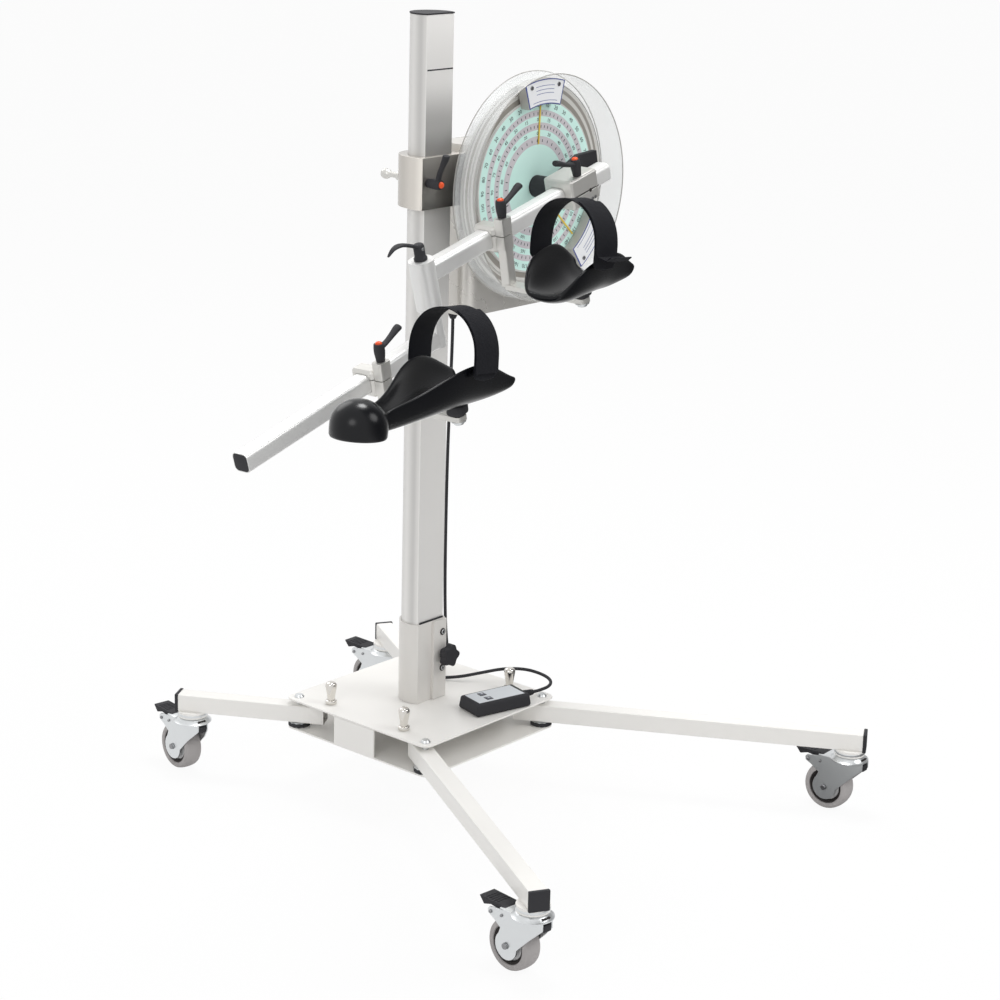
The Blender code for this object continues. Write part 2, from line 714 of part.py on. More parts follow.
def build_pedal(label, swivel, inside):
    """A brake pedal over the wheel, hinged between the fork's sides on the trailing side."""
    hinge_x = CASTOR_TRAIL
    hinge_z = WHEEL_RADIUS * 2 + 0.009
    hinge = empty("pedal_hinge_" + label, (hinge_x, 0, hinge_z), (0, PEDAL_REST_TILT, 0), swivel)
    points = (
        (-0.004, -0.003),
        (0.036, 0.0005),
        (PEDAL_LENGTH - 0.010, -0.004),
        (PEDAL_LENGTH, PEDAL_THICKNESS),
        (0.012, PEDAL_THICKNESS),
        (-0.004, 0.003),
    )
    place = Matrix.Rotation(math.radians(90), 4, "X")
    width = min(PEDAL_WIDTH, 2 * (inside - GAP))
    pedal = outline("brake_pedal_" + label, points, width, place, hinge)
    dress(pedal, "black_plastic", False)


def build_column(root):
    bottom = PLATE_TOP + GAP
    column = d_bar("column", COLUMN_RADIUS, COLUMN_FLAT, bottom, COLUMN_TOP, root)
    cut(column, d_bar("column_hollow", COLUMN_RADIUS - COLUMN_WALL, COLUMN_FLAT - COLUMN_WALL,
                      bottom - GAP, COLUMN_TOP + GAP, root))
    dress(column, "column_paint")
    cap = d_bar("column_cap", COLUMN_RADIUS + CAP_OVERHANG, COLUMN_FLAT + CAP_OVERHANG,
                COLUMN_TOP + GAP, COLUMN_TOP + CAP_THICKNESS, root)
    join(cap, d_bar("cap_plug", COLUMN_RADIUS - COLUMN_WALL - GAP, COLUMN_FLAT - COLUMN_WALL - GAP,
                    COLUMN_TOP - CAP_PLUG_DEPTH, COLUMN_TOP + CAP_THICKNESS / 2, root))
    dress(cap, "black_plastic")


def build_sleeve(root):
    """The sleeve round the column's foot, with a thick bar on its flat for the clamp screw."""
    bottom = PLATE_TOP + GAP
    sleeve = d_bar("column_sleeve", SLEEVE_OUTER, SLEEVE_FLAT, bottom, SLEEVE_TOP, root)
    bar_back = -(SLEEVE_FLAT - SLEEVE_WALL / 2)
    bar_front = -(SLEEVE_FLAT + SLEEVE_BAR_THICKNESS)
    join(sleeve, box("clamp_bar", (SLEEVE_BAR_RIGHT - SLEEVE_BAR_LEFT, bar_back - bar_front,
                                   SLEEVE_HEIGHT - 4 * GAP),
                     ((SLEEVE_BAR_RIGHT + SLEEVE_BAR_LEFT) / 2, (bar_back + bar_front) / 2,
                      bottom + SLEEVE_HEIGHT / 2 - GAP), root))
    cut(sleeve, d_bar("sleeve_bore", COLUMN_RADIUS + GAP, COLUMN_FLAT + GAP, bottom - GAP,
                      SLEEVE_TOP + GAP, root))
    cut(sleeve, rod("screw_hole", SCREW_RADIUS + GAP, (SLEEVE_KNOB_X, bar_front - GAP, SLEEVE_KNOB_Z),
                    (SLEEVE_KNOB_X, -COLUMN_FLAT, SLEEVE_KNOB_Z), root, 12))
    dress(sleeve, "paint")
    build_sleeve_knob(bar_front - GAP, -COLUMN_FLAT - 2 * GAP, root)


def build_sleeve_knob(face_y, screw_end, root):
    """A lobed knob on the clamp screw; its frame's Z is the screw's axis, world -Y."""
    frame = empty("sleeve_knob_frame", (SLEEVE_KNOB_X, face_y, SLEEVE_KNOB_Z), (90, 0, 0), root)
    count = 8 * SLEEVE_KNOB_LOBES
    points = []
    for i in range(count):
        angle = 2 * math.pi * i / count
        radius = SLEEVE_KNOB_RADIUS * (1 - LOBE_SHARE + LOBE_SHARE * math.cos(SLEEVE_KNOB_LOBES * angle))
        points.append((radius * math.cos(angle), radius * math.sin(angle)))
    grip_start = SLEEVE_KNOB_DEPTH * 0.35
    place = Matrix.Translation((0, 0, (grip_start + SLEEVE_KNOB_DEPTH) / 2))
    knob = outline("sleeve_knob", points, SLEEVE_KNOB_DEPTH - grip_start, place, frame)
    join(knob, rod("knob_neck", SLEEVE_KNOB_RADIUS * 0.5, (0, 0, 0), (0, 0, grip_start + GAP), frame, 16))
    join(knob, rod("knob_screw", SCREW_RADIUS, (0, 0, face_y - screw_end), (0, 0, grip_start), frame, 12))
    dress(knob, "black_plastic")


def clamp_lever(name, frame, arm_turn=0.0):
    """A clamp lever standing on its frame's XY plane, its arm rising towards the frame's +X."""
    height = LEVER_HUB_HEIGHT
    hub = turned(name, (
        (0.0, height + LEVER_BUTTON_HEIGHT),
        (LEVER_BUTTON_RADIUS, height + LEVER_BUTTON_HEIGHT),
        (LEVER_BUTTON_RADIUS, height),
        (LEVER_HUB_TOP_RADIUS, height),
        (LEVER_HUB_RADIUS, height * 0.5),
        (LEVER_HUB_RADIUS * 0.8, 0.0),
        (0.0, 0.0),
    ), frame, 16)
    arm_low = height - LEVER_HUB_TOP_RADIUS
    run = LEVER_ARM_LENGTH
    points = [(0.0, arm_low), (run * 0.3, arm_low + LEVER_ARM_RISE * 0.25),
              (run * 0.65, arm_low + LEVER_ARM_RISE * 0.8), (run, arm_low + LEVER_ARM_RISE + 0.006)]
    turn = math.radians(arm_turn)
    path = [(x * math.cos(turn), x * math.sin(turn), z) for x, z in points]
    join(hub, tube(name + "_arm", path, LEVER_ARM_RADIUS, frame, 1))
    dress(hub, "black_plastic")
    return hub


def build_carriage(root):
    """The sliding block on the column, with its clamp lever and rear index plunger."""
    slide = empty("carriage_frame", (0, 0, 0), (0, 0, 0), root)
    height = CARRIAGE_TOP - CARRIAGE_BOTTOM
    middle = (CARRIAGE_TOP + CARRIAGE_BOTTOM) / 2
    back = ring_points(CARRIAGE_BACK_RADIUS, 0, 180, 17)
    points = [(CARRIAGE_BACK_RADIUS, 0.0)] + back[1:] + [
        (-CARRIAGE_LEFT, -0.004),
        (-CARRIAGE_LEFT, -CARRIAGE_FRONT + 0.003),
        (-CARRIAGE_LEFT + 0.003, -CARRIAGE_FRONT),
        (CARRIAGE_BACK_RADIUS, -CARRIAGE_FRONT),
    ]
    block = outline("carriage", points, height, Matrix.Translation((0, 0, middle)), slide)
    arm_end = HOUSING_LEFT - GAP
    join(block, box("carriage_arm", (arm_end - COLUMN_RADIUS, CARRIAGE_ARM_DEPTH, height * 0.9),
                    ((arm_end + COLUMN_RADIUS) / 2, -CARRIAGE_FRONT + 0.001 + CARRIAGE_ARM_DEPTH / 2, middle),
                    slide))
    clearance = CARRIAGE_BORE_CLEARANCE
    cut(block, d_bar("carriage_bore", COLUMN_RADIUS + clearance, COLUMN_FLAT + clearance,
                     CARRIAGE_BOTTOM - 0.001, CARRIAGE_TOP + 0.001, slide))
    rear = CARRIAGE_BACK_RADIUS
    cut(block, rod("plunger_bore", PLUNGER_PIN_RADIUS + GAP, (0, COLUMN_RADIUS - 0.002, CARRIAGE_PLUNGER_Z),
                   (0, rear + 0.001, CARRIAGE_PLUNGER_Z), slide, 12))
    dress(block, "polished")
    lever_frame = empty("carriage_lever_frame", (CARRIAGE_LEVER_X, -CARRIAGE_FRONT - GAP, CARRIAGE_LEVER_Z),
                        (90, 0, 0), slide)
    clamp_lever("carriage_lever", lever_frame, 90)
    plunger_frame = empty("carriage_plunger_frame", (0, rear + GAP, CARRIAGE_PLUNGER_Z), (-90, 0, 0), slide)
    pin_end = COLUMN_RADIUS + clearance + GAP - rear
    plunger = turned("carriage_plunger", (
        (0.0, 0.052),
        (0.007, 0.052),
        (0.0085, 0.049),
        (0.0085, 0.040),
        (0.005, 0.034),
        (0.005, 0.018),
        (0.0075, 0.017),
        (0.0075, 0.0),
        (PLUNGER_PIN_RADIUS, 0.0),
        (PLUNGER_PIN_RADIUS, pin_end),
        (0.0, pin_end),
    ), plunger_frame, 12)
    dress(plunger, "polished")
    return slide


def build_housing(slide):
    width = HOUSING_RIGHT - HOUSING_LEFT
    depth = HOUSING_BACK - HOUSING_FRONT
    height = HOUSING_TOP - HOUSING_BOTTOM
    centre = ((HOUSING_LEFT + HOUSING_RIGHT) / 2, (HOUSING_FRONT + HOUSING_BACK) / 2,
              (HOUSING_TOP + HOUSING_BOTTOM) / 2)
    shell = bar("housing", (width, depth, height), centre, 2, HOUSING_CORNER, slide, 5)
    wall = HOUSING_WALL
    inner_depth = depth - wall + 0.001
    cut(shell, bar("housing_hollow", (width - 2 * wall, inner_depth, height - 2 * wall),
                   (centre[0], HOUSING_FRONT + wall + inner_depth / 2, centre[2]), 2,
                   HOUSING_CORNER - wall, slide, 5))
    cut(shell, box("open_back", (width + wall, HOUSING_CORNER, height + wall),
                   (centre[0], HOUSING_BACK + HOUSING_CORNER / 2 - HOUSING_CORNER, centre[2]), slide))
    cut(shell, rod("shaft_hole", SHAFT_RADIUS + SHAFT_CLEARANCE, (DRIVE_X, HOUSING_FRONT - 0.001, DRIVE_Z),
                   (DRIVE_X, HOUSING_FRONT + wall + 0.001, DRIVE_Z), slide, 24))
    cut(shell, rod("gland_hole", GLAND_RADIUS * 0.6 + GAP, (GLAND_X, GLAND_Y, HOUSING_BOTTOM - 0.001),
                   (GLAND_X, GLAND_Y, HOUSING_BOTTOM + wall + 0.001), slide, 16))
    dress(shell, "paint")
    back_y = HOUSING_BACK - HOUSING_CORNER
    cover = box("housing_back_cover", (width, COVER_THICKNESS, height),
                (centre[0], back_y + GAP + COVER_THICKNESS / 2, centre[2]), slide)
    inlet = (INLET_X, back_y + GAP + COVER_THICKNESS, HOUSING_BOTTOM + INLET_RISE)
    cut(cover, box("inlet_recess", (INLET_WIDTH, 2 * INLET_DEPTH, INLET_HEIGHT), inlet, slide))
    dress(cover, "paint", False)
    build_drive_inside(slide, back_y)


def build_drive_inside(slide, back_y):
    """The gear motor behind the dial and the control board under it."""
    front = HOUSING_FRONT + HOUSING_WALL + GAP
    depth = min(MOTOR_DEPTH, back_y - front - GAP)
    motor = box("gear_motor", (MOTOR_WIDTH, depth, MOTOR_HEIGHT),
                (DRIVE_X, front + depth / 2, DRIVE_Z), slide, 0.004, 1)
    cut(motor, rod("motor_bore", SHAFT_RADIUS + SHAFT_CLEARANCE, (DRIVE_X, front - 0.001, DRIVE_Z),
                   (DRIVE_X, front + depth * 0.7, DRIVE_Z), slide, 24))
    dress(motor, "motor_steel", False)
    board = box("control_board", (BOARD_WIDTH, BOARD_THICKNESS, BOARD_HEIGHT),
                (DRIVE_X, front + BOARD_THICKNESS, DRIVE_Z - BOARD_DROP), slide)
    dress(board, "board_green", False)
    gland_top = HOUSING_BOTTOM + HOUSING_WALL
    gland_bottom = HOUSING_BOTTOM - GAP
    gland = turned("cord_gland", (
        (0.0, gland_top),
        (GLAND_RADIUS * 0.6, gland_top),
        (GLAND_RADIUS * 0.6, gland_bottom),
        (GLAND_RADIUS, gland_bottom),
        (GLAND_RADIUS, gland_bottom - GLAND_HEIGHT * 0.5),
        (GLAND_RADIUS * 0.6, gland_bottom - GLAND_HEIGHT),
        (0.0, gland_bottom - GLAND_HEIGHT),
    ), slide, 12, (GLAND_X, GLAND_Y, 0))
    dress(gland, "black_plastic")


def build_dial(slide):
    """The clear pan, the stepped ring with its scale, and the two stop blocks, on the drive's axis."""
    axis = empty("dial_frame", (DRIVE_X, 0, DRIVE_Z), (90, 0, 0), slide)
    back = -PAN_BACK_Y
    front = -PAN_FRONT_Y
    bore = SHAFT_RADIUS + SHAFT_CLEARANCE
    pan = turned("clear_pan", (
        (PAN_RADIUS - PAN_WALL, front),
        (PAN_RADIUS, front),
        (PAN_RADIUS, back),
        (bore, back),
        (bore, back + PAN_WALL),
        (PAN_RADIUS - PAN_WALL, back + PAN_WALL),
        (PAN_RADIUS - PAN_WALL, front),
    ), axis, 40)
    dress(pan, "clear")
    low = back + PAN_WALL + GAP
    dial = turned("scale_dial", (
        (bore, low + DIAL_THICKNESS),
        (DIAL_RADIUS, low + DIAL_THICKNESS),
        (DIAL_RADIUS, low + RING_THICKNESS + RING_STEP),
        (RING_STEP_RADIUS, low + RING_THICKNESS + RING_STEP),
        (RING_STEP_RADIUS, low + RING_THICKNESS),
        (RING_RADIUS, low + RING_THICKNESS),
        (RING_RADIUS, low),
        (bore, low),
        (bore, low + DIAL_THICKNESS),
    ), axis, 40)
    dress(dial, "dial")
    face = low + DIAL_THICKNESS + GAP
    for label, angle in STOP_ANGLES:
        turn = empty("stop_frame_" + label, (0, 0, 0), (0, 0, angle), axis)
        points = ring_points(STOP_OUTER_RADIUS, -STOP_HALF_ANGLE, STOP_HALF_ANGLE, 9) + ring_points(
            STOP_INNER_RADIUS, STOP_HALF_ANGLE, -STOP_HALF_ANGLE, 9)
        place = Matrix.Translation((0, 0, face + STOP_DEPTH / 2))
        block = outline("stop_block_" + label, points, STOP_DEPTH, place, turn)
        lip_low = low + RING_THICKNESS + RING_STEP + GAP
        lip_x = (DIAL_RADIUS + GAP + RING_STEP_RADIUS) / 2
        join(block, box("stop_lip", (RING_STEP_RADIUS - DIAL_RADIUS - 0.004, STOP_LIP_WIDTH,
                                     face + STOP_DEPTH / 2 - lip_low),
                        (lip_x + 0.001, 0, (lip_low + face + STOP_DEPTH / 2) / 2), turn))
        dress(block, "aluminium", False)
    return axis


def build_drive_shaft(slide):
    """The drive shaft with its black hub and the finger that meets the stop blocks."""
    shaft_frame = empty("drive_frame", (DRIVE_X, 0, DRIVE_Z), (90, 0, 0), slide)
    face = -DIAL_FRONT_Y + GAP
    clamp_back = -ARM_Y - ARM_TUBE / 2 - PAD_CLAMP_WALL * 2
    shaft = rod("drive_shaft", HUB_RADIUS, (0, 0, face), (0, 0, clamp_back - GAP), shaft_frame, 24)
    motor_front = -(HOUSING_FRONT + HOUSING_WALL + GAP)
    join(shaft, rod("shaft_core", SHAFT_RADIUS, (0, 0, motor_front - MOTOR_DEPTH * 0.5), (0, 0, face + 0.001),
                    shaft_frame, 24))
    tilt = Matrix.Rotation(math.radians(ARM_TILT), 4, "Z")
    finger_z = clamp_back - FINGER_THICKNESS / 2 - 0.001
    finger = outline("finger", FINGER_OUTLINE, FINGER_THICKNESS,
                     tilt @ Matrix.Translation((0, 0, finger_z)), shaft_frame)
    join(shaft, finger)
    dress(shaft, "black_plastic")
    return clamp_back


def build_main_clamp(arm):
    """The block on the drive shaft that grips the upper tube; arm is the tilted frame on the tube's axis."""
    back = PAD_CLAMP_WALL * 2 + ARM_TUBE / 2
    depth = back + MAIN_CLAMP_FRONT
    block = box("main_clamp", (MAIN_CLAMP_LENGTH, depth, MAIN_CLAMP_TOP - MAIN_CLAMP_BOTTOM),
                (MAIN_CLAMP_SHIFT, (back - MAIN_CLAMP_FRONT) / 2, (MAIN_CLAMP_TOP + MAIN_CLAMP_BOTTOM) / 2),
                arm, 0.003, 1)
    side = ARM_TUBE + 2 * GAP
    cut(block, bar("tube_slot", (MAIN_CLAMP_LENGTH + 0.01, side, side), (MAIN_CLAMP_SHIFT, 0, 0), 0,
                   ARM_CORNER, arm, 3))
    slit_start = -ARM_TUBE / 2 + 0.001
    slit_end = -MAIN_CLAMP_FRONT - 0.001
    cut(block, box("clamp_slit", (MAIN_CLAMP_LENGTH + 0.01, slit_start - slit_end, CLAMP_SLIT),
                   (MAIN_CLAMP_SHIFT, (slit_start + slit_end) / 2, 0), arm))
    dress(block, "aluminium", False)
    frame = empty("main_lever_frame", (MAIN_LEVER_X, -MAIN_LEVER_Y, MAIN_CLAMP_TOP + GAP),
                  (0, 0, 180), arm)
    clamp_lever("main_lever", frame)


def build_upper_tube(arm):
    """The upper tube with the elbow barrel welded to its left end, and the elbow's cam lever."""
    slide = empty("upper_tube_frame", (0, 0, 0), (0, 0, 0), arm)
    length = UPPER_RIGHT_END - ELBOW_X
    pipe = bar("upper_tube", (length, ARM_TUBE, ARM_TUBE), ((UPPER_RIGHT_END + ELBOW_X) / 2, 0, 0), 0,
               ARM_CORNER, slide, 3)
    inner = ARM_TUBE - 2 * ARM_WALL
    hollow_start = ELBOW_X + ELBOW_RADIUS - 0.002
    hollow_end = UPPER_RIGHT_END + 0.001
    join(pipe, rod("barrel", ELBOW_RADIUS, (ELBOW_X, 0, ELBOW_BOTTOM), (ELBOW_X, 0, ELBOW_TOP), slide, 32))
    cut(pipe, bar("tube_hollow", (hollow_end - hollow_start, inner, inner),
                  ((hollow_start + hollow_end) / 2, 0, 0), 0, ARM_CORNER - ARM_WALL, slide, 3))
    bore = ELBOW_PIN_RADIUS + SHAFT_CLEARANCE
    cut(pipe, rod("barrel_bore", bore, (ELBOW_X, 0, ELBOW_BOTTOM - 0.001), (ELBOW_X, 0, ELBOW_TOP + 0.001),
                  slide, 24))
    dress(pipe, "aluminium")
    elbow = empty("elbow_frame", (ELBOW_X, 0, 0), (0, 0, FOREARM_YAW), slide)
    build_elbow_lever(slide)
    return slide, elbow


def build_elbow_lever(slide):
    """The quick-release cam on top of the elbow; its frame's Z is the pin's axis."""
    frame = empty("elbow_lever_frame", (ELBOW_X, 0, ELBOW_TOP + GAP), (0, 0, 180), slide)
    body = turned("elbow_lever", (
        (0.0, 0.026),
        (0.007, 0.026),
        (0.009, 0.022),
        (0.009, 0.006),
        (0.0105, 0.004),
        (0.0105, 0.0),
        (0.0, 0.0),
    ), frame, 16)
    path = [(x, 0.0, z) for x, z in ELBOW_LEVER_PATH]
    join(body, tube("cam_arm", path, ELBOW_LEVER_RADIUS, frame, 1))
    dress(body, "black_plastic")


def build_lower_tube(elbow):
    """The lower tube with its knuckle and elbow pin; returns the tube's own tilted frame."""
    top = ELBOW_BOTTOM - GAP
    bottom = -FOREARM_DROP - ARM_TUBE / 2
    line = empty("lower_tube_frame", (0, 0, -FOREARM_DROP), (0, -FOREARM_TILT, 0), elbow)
    pipe = bar("lower_tube", (FOREARM_LENGTH, ARM_TUBE, ARM_TUBE), (-FOREARM_LENGTH / 2, 0, 0), 0,
               ARM_CORNER, line, 3)
    join(pipe, rod("knuckle", KNUCKLE_RADIUS, (0, 0, bottom), (0, 0, top - ELBOW_WASHER / 2), elbow, 24))
    join(pipe, rod("washer", ELBOW_RADIUS, (0, 0, top - ELBOW_WASHER), (0, 0, top), elbow, 32))
    join(pipe, rod("elbow_pin", ELBOW_PIN_RADIUS, (0, 0, top - ELBOW_WASHER / 2), (0, 0, ELBOW_TOP - GAP),
                   elbow, 24))
    inner = ARM_TUBE - 2 * ARM_WALL
    hollow_start = -FOREARM_LENGTH + END_CAP_THICKNESS
    hollow_end = -KNUCKLE_RADIUS - 0.002
    cut(pipe, bar("lower_hollow", (hollow_end - hollow_start, inner, inner),
                  ((hollow_start + hollow_end) / 2, 0, 0), 0, ARM_CORNER - ARM_WALL, line, 3))
    cut(pipe, rod("drain", DRAIN_RADIUS, (hollow_end - DRAIN_INSET, 0, -ARM_TUBE),
                  (hollow_end - DRAIN_INSET, 0, 0), line, 8))
    dress(pipe, "aluminium")
    return line


def build_pad_clamp(label, tube_frame, x, post_drop, lean, pin_reach):
    """A split clamp on a tube with its post, bracket and pad pivot, and its lever.

    The clamp's ring is square to the tube. The boss, lever and post stand in a frame that
    leans by the given angle about Y.
    """
    slide = empty(label + "_clamp_frame", (x, 0, 0), (0, 0, 0), tube_frame)
    outer = ARM_TUBE + 2 * (PAD_CLAMP_WALL + GAP)
    clamp = box(label + "_pad_clamp", (PAD_CLAMP_LENGTH, outer, outer), (0, 0, 0), slide, 0.004, 1)
    post = empty(label + "_post_frame", (0, -BOSS_REACH, 0), (0, lean, 0), slide)
    join(clamp, bar(label + "_boss", (BOSS_WIDTH, BOSS_DEPTH, BOSS_TOP + ARM_TUBE / 2),
                    (0, BOSS_Y, (BOSS_TOP - ARM_TUBE / 2) / 2), 2, BOSS_CORNER, post, 2))
    post_length = post_drop - BRACKET_THICKNESS / 2
    join(clamp, bar(label + "_post", (POST_WIDTH, POST_WIDTH, post_length),
                    (0, BOSS_Y, -post_length / 2), 2, POST_CORNER, post, 2))
    reach = pin_reach + BRACKET_WIDTH / 2
    join(clamp, bar(label + "_bracket", (BRACKET_WIDTH, reach, BRACKET_THICKNESS),
                    (0, -reach / 2, -post_drop + BRACKET_THICKNESS / 2), 2, 0.006, post, 2))
    side = ARM_TUBE + 2 * GAP
    cut(clamp, bar(label + "_slot", (3 * PAD_CLAMP_LENGTH, side, side), (0, 0, 0), 0, ARM_CORNER, slide, 3))
    slit_start = -ARM_TUBE / 2 + 0.001
    slit_end = -BOSS_REACH - BOSS_DEPTH
    cut(clamp, box(label + "_slit", (3 * PAD_CLAMP_LENGTH, slit_start - slit_end, CLAMP_SLIT),
                   (0, (slit_start + slit_end) / 2, BOSS_SLIT_Z), slide))
    pin_y = -pin_reach
    cut(clamp, rod(label + "_pivot_hole", PIVOT_PIN_RADIUS + GAP, (0, pin_y, -post_drop - 0.001),
                   (0, pin_y, -post_drop + BRACKET_THICKNESS + 0.001), post, 16))
    dress(clamp, "aluminium")
    lever_frame = empty(label + "_lever_frame", (0, BOSS_Y, BOSS_TOP + GAP), (0, 0, 0), post)
    clamp_lever(label + "_pad_lever", lever_frame)
    pad_z = -post_drop + BRACKET_THICKNESS + GAP
    pivot = empty(label + "_pad_frame", (0, pin_y, pad_z), (0, 0, PAD_YAW), post)
    level = empty(label + "_pad_level_frame", (0, 0, 0), (0, 0, 0), pivot)
    yaw = Matrix.Rotation(math.radians(PAD_YAW), 3, "Z")
    level.rotation_euler = (yaw.inverted() @ Matrix.Rotation(math.radians(PAD_TILT), 3, "Y")
                            @ yaw).to_euler()
    return pivot, level


def trough(name, stations, lift, reach, rim, frame):
    """A shell lofted along X between U sections of unlike size, closed at both ends.

    A station is (x as a share of reach, half width as a share of PAD_HALF_WIDTH, floor and rim as
    shares of rim, floor thickness as a share of PAD_SHELL). Floors are measured from lift.
    """
    steps = PAD_SECTION_STEPS

    def section(bm, x, half, floor, top, thickness):
        verts = []
        for i in range(steps + 1):
            angle = math.pi * i / steps
            drop = math.sin(angle) ** 0.7
            verts.append(bm.verts.new((x, -half * math.cos(angle), top - (top - floor) * drop)))
        for i in range(steps, -1, -1):
            angle = math.pi * i / steps
            drop = math.sin(angle) ** 0.7
            inner_half = half - PAD_SHELL
            inner_floor = floor + thickness
            verts.append(bm.verts.new((x, -inner_half * math.cos(angle), top - (top - inner_floor) * drop)))
        return verts

    def build(bm):
        loops = []
        for x, half, floor, top, thickness in stations:
            loops.append(section(bm, x * reach, half * PAD_HALF_WIDTH, lift + floor * rim, lift + top * rim,
                                 thickness * PAD_SHELL))
        count = len(loops[0])
        for first, second in zip(loops, loops[1:]):
            for i in range(count):
                j = (i + 1) % count
                bm.faces.new((first[i], first[j], second[j], second[i]))
        for loop in (loops[0], loops[-1]):
            for i in range(steps):
                bm.faces.new((loop[i], loop[i + 1], loop[count - 2 - i], loop[count - 1 - i]))
    return mesh_object(name, build, frame)


def pad_base(label, height, frame):
    """The block and pivot pin under a pad, in the pad's frame."""
    low = 0.0
    high = height + PAD_SHELL * 0.25
    block = bar(label + "_block", (BLOCK_WIDTH, BLOCK_WIDTH, high - low), (0, 0, (high + low) / 2), 2,
                0.006, frame, 2)
    pin_low = -BRACKET_THICKNESS - 2 * GAP
    pin = rod(label + "_pivot_pin", PIVOT_PIN_RADIUS, (0, 0, pin_low - PIVOT_HEAD_HEIGHT), (0, 0, 0.002),
              frame, 16)
    head = rod(label + "_pivot_head", PIVOT_HEAD_RADIUS, (0, 0, pin_low - PIVOT_HEAD_HEIGHT),
               (0, 0, pin_low), frame, 16)
    return block, pin, head


def build_upper_pad(pivot, frame):
    """A scoop whose rim falls to the floor at its far end, with its strap."""
    stations = (
        (-1.00, 0.50, -0.06, 0.08, 1.35),
        (-0.94, 0.68, -0.13, 0.24, 1.35),
        (-0.82, 0.84, -0.17, 0.50, 1.15),
        (-0.63, 0.95, -0.17, 0.77, 1.00),
        (-0.31, 1.00, -0.10, 0.92, 1.00),
        (0.00, 1.02, -0.01, 1.00, 1.00),
        (0.20, 1.00, 0.00, 0.88, 1.00),
        (0.36, 0.98, 0.08, 0.72, 1.00),
        (0.48, 1.00, 0.17, 0.64, 1.00),
    )
    pad = trough("upper_arm_pad", stations, UPPER_BLOCK_HEIGHT, UPPER_PAD_REACH, UPPER_PAD_RIM, frame)
    join(pad, *pad_base("upper", UPPER_BLOCK_HEIGHT, pivot))
    dress(pad, "pad_black")
    build_strap("upper_arm_strap", frame, UPPER_STRAP_X, UPPER_BLOCK_HEIGHT + UPPER_STRAP_FOOT, UPPER_STRAP_ARCH)


def build_forearm_pad(pivot, frame):
    """A trough that narrows to a stem under the domed hand rest, with its strap."""
    stations = (
        (-1.00, 0.32, -0.17, 0.31, 3.40),
        (-0.79, 0.42, -0.14, 0.42, 2.60),
        (-0.62, 0.60, -0.10, 0.61, 1.60),
        (-0.43, 0.83, -0.05, 0.86, 1.00),
        (-0.25, 0.94, -0.01, 1.00, 1.00),
        (-0.06, 0.98, 0.01, 0.97, 1.00),
        (0.12, 0.98, 0.04, 0.75, 1.00),
        (0.23, 0.98, 0.11, 0.61, 1.00),
        (0.29, 1.00, 0.18, 0.57, 1.00),
    )
    pad = trough("forearm_pad", stations, BLOCK_HEIGHT, FOREARM_PAD_REACH, FOREARM_PAD_RIM, frame)
    palm_low = BLOCK_HEIGHT - PALM_SINK
    palm_top = palm_low + PALM_HEIGHT
    profile = [(0.0, palm_top)]
    for i in range(1, 7):
        angle = math.radians(90 - 15 * i)
        profile.append((PALM_RADIUS * math.cos(angle), palm_top - PALM_RADIUS * (1 - math.sin(angle))))
    profile.append((PALM_RADIUS * 1.02, palm_low + 0.006))
    profile.append((PALM_RADIUS * 0.96, palm_low))
    profile.append((0.0, palm_low))
    palm = turned("palm_rest", profile, frame, 20, (PALM_X, PALM_Y, 0))
    join(pad, palm, *pad_base("forearm", BLOCK_HEIGHT, pivot))
    dress(pad, "pad_black")
    build_strap("forearm_strap", frame, FOREARM_STRAP_X, BLOCK_HEIGHT + FOREARM_STRAP_FOOT, FOREARM_STRAP_ARCH)


def build_strap(name, frame, x, low, arch):
    """A webbing band that stands as an arch over the pad, turned a little, its ends outside the rims."""
    steps = STRAP_STEPS
    turn = math.radians(STRAP_TURN)
    swing = STRAP_WIDTH / 2 * abs(math.sin(turn))
    reach = (PAD_HALF_WIDTH * 1.02 + STRAP_THICKNESS / 2 + GAP + swing) / math.cos(turn)
    place = Matrix.Translation((x, 0, 0)) @ Matrix.Rotation(turn, 4, "Z")
    middle = [(reach, low - STRAP_HOLD), (reach, low)]
    for i in range(1, steps):
        angle = math.pi * i / steps
        middle.append((reach * math.cos(angle), low + arch * math.sin(angle) ** 0.9))
    middle += [(-reach, low), (-reach, low - STRAP_HOLD)]

    def build(bm):
        rows = []
        for i, (y, z) in enumerate(middle):
            ahead = middle[min(i + 1, len(middle) - 1)]
            behind = middle[max(i - 1, 0)]
            run = Vector((ahead[0] - behind[0], ahead[1] - behind[1])).normalized()
            out = Vector((run.y, -run.x)) * STRAP_THICKNESS / 2
            row = []
            for hand in (-1, 1):
                for edge in (-1, 1):
                    corner = Vector((hand * STRAP_WIDTH / 2, y + edge * out.x, z + edge * out.y))
                    row.append(bm.verts.new(place @ corner))
            rows.append((row[0], row[1], row[3], row[2]))
        for first, second in zip(rows, rows[1:]):
            for i in range(4):
                j = (i + 1) % 4
                bm.faces.new((first[i], first[j], second[j], second[i]))
        bm.faces.new(rows[0])
        bm.faces.new(rows[-1])
    strap = mesh_object(name, build, frame)
    dress(strap, "webbing")


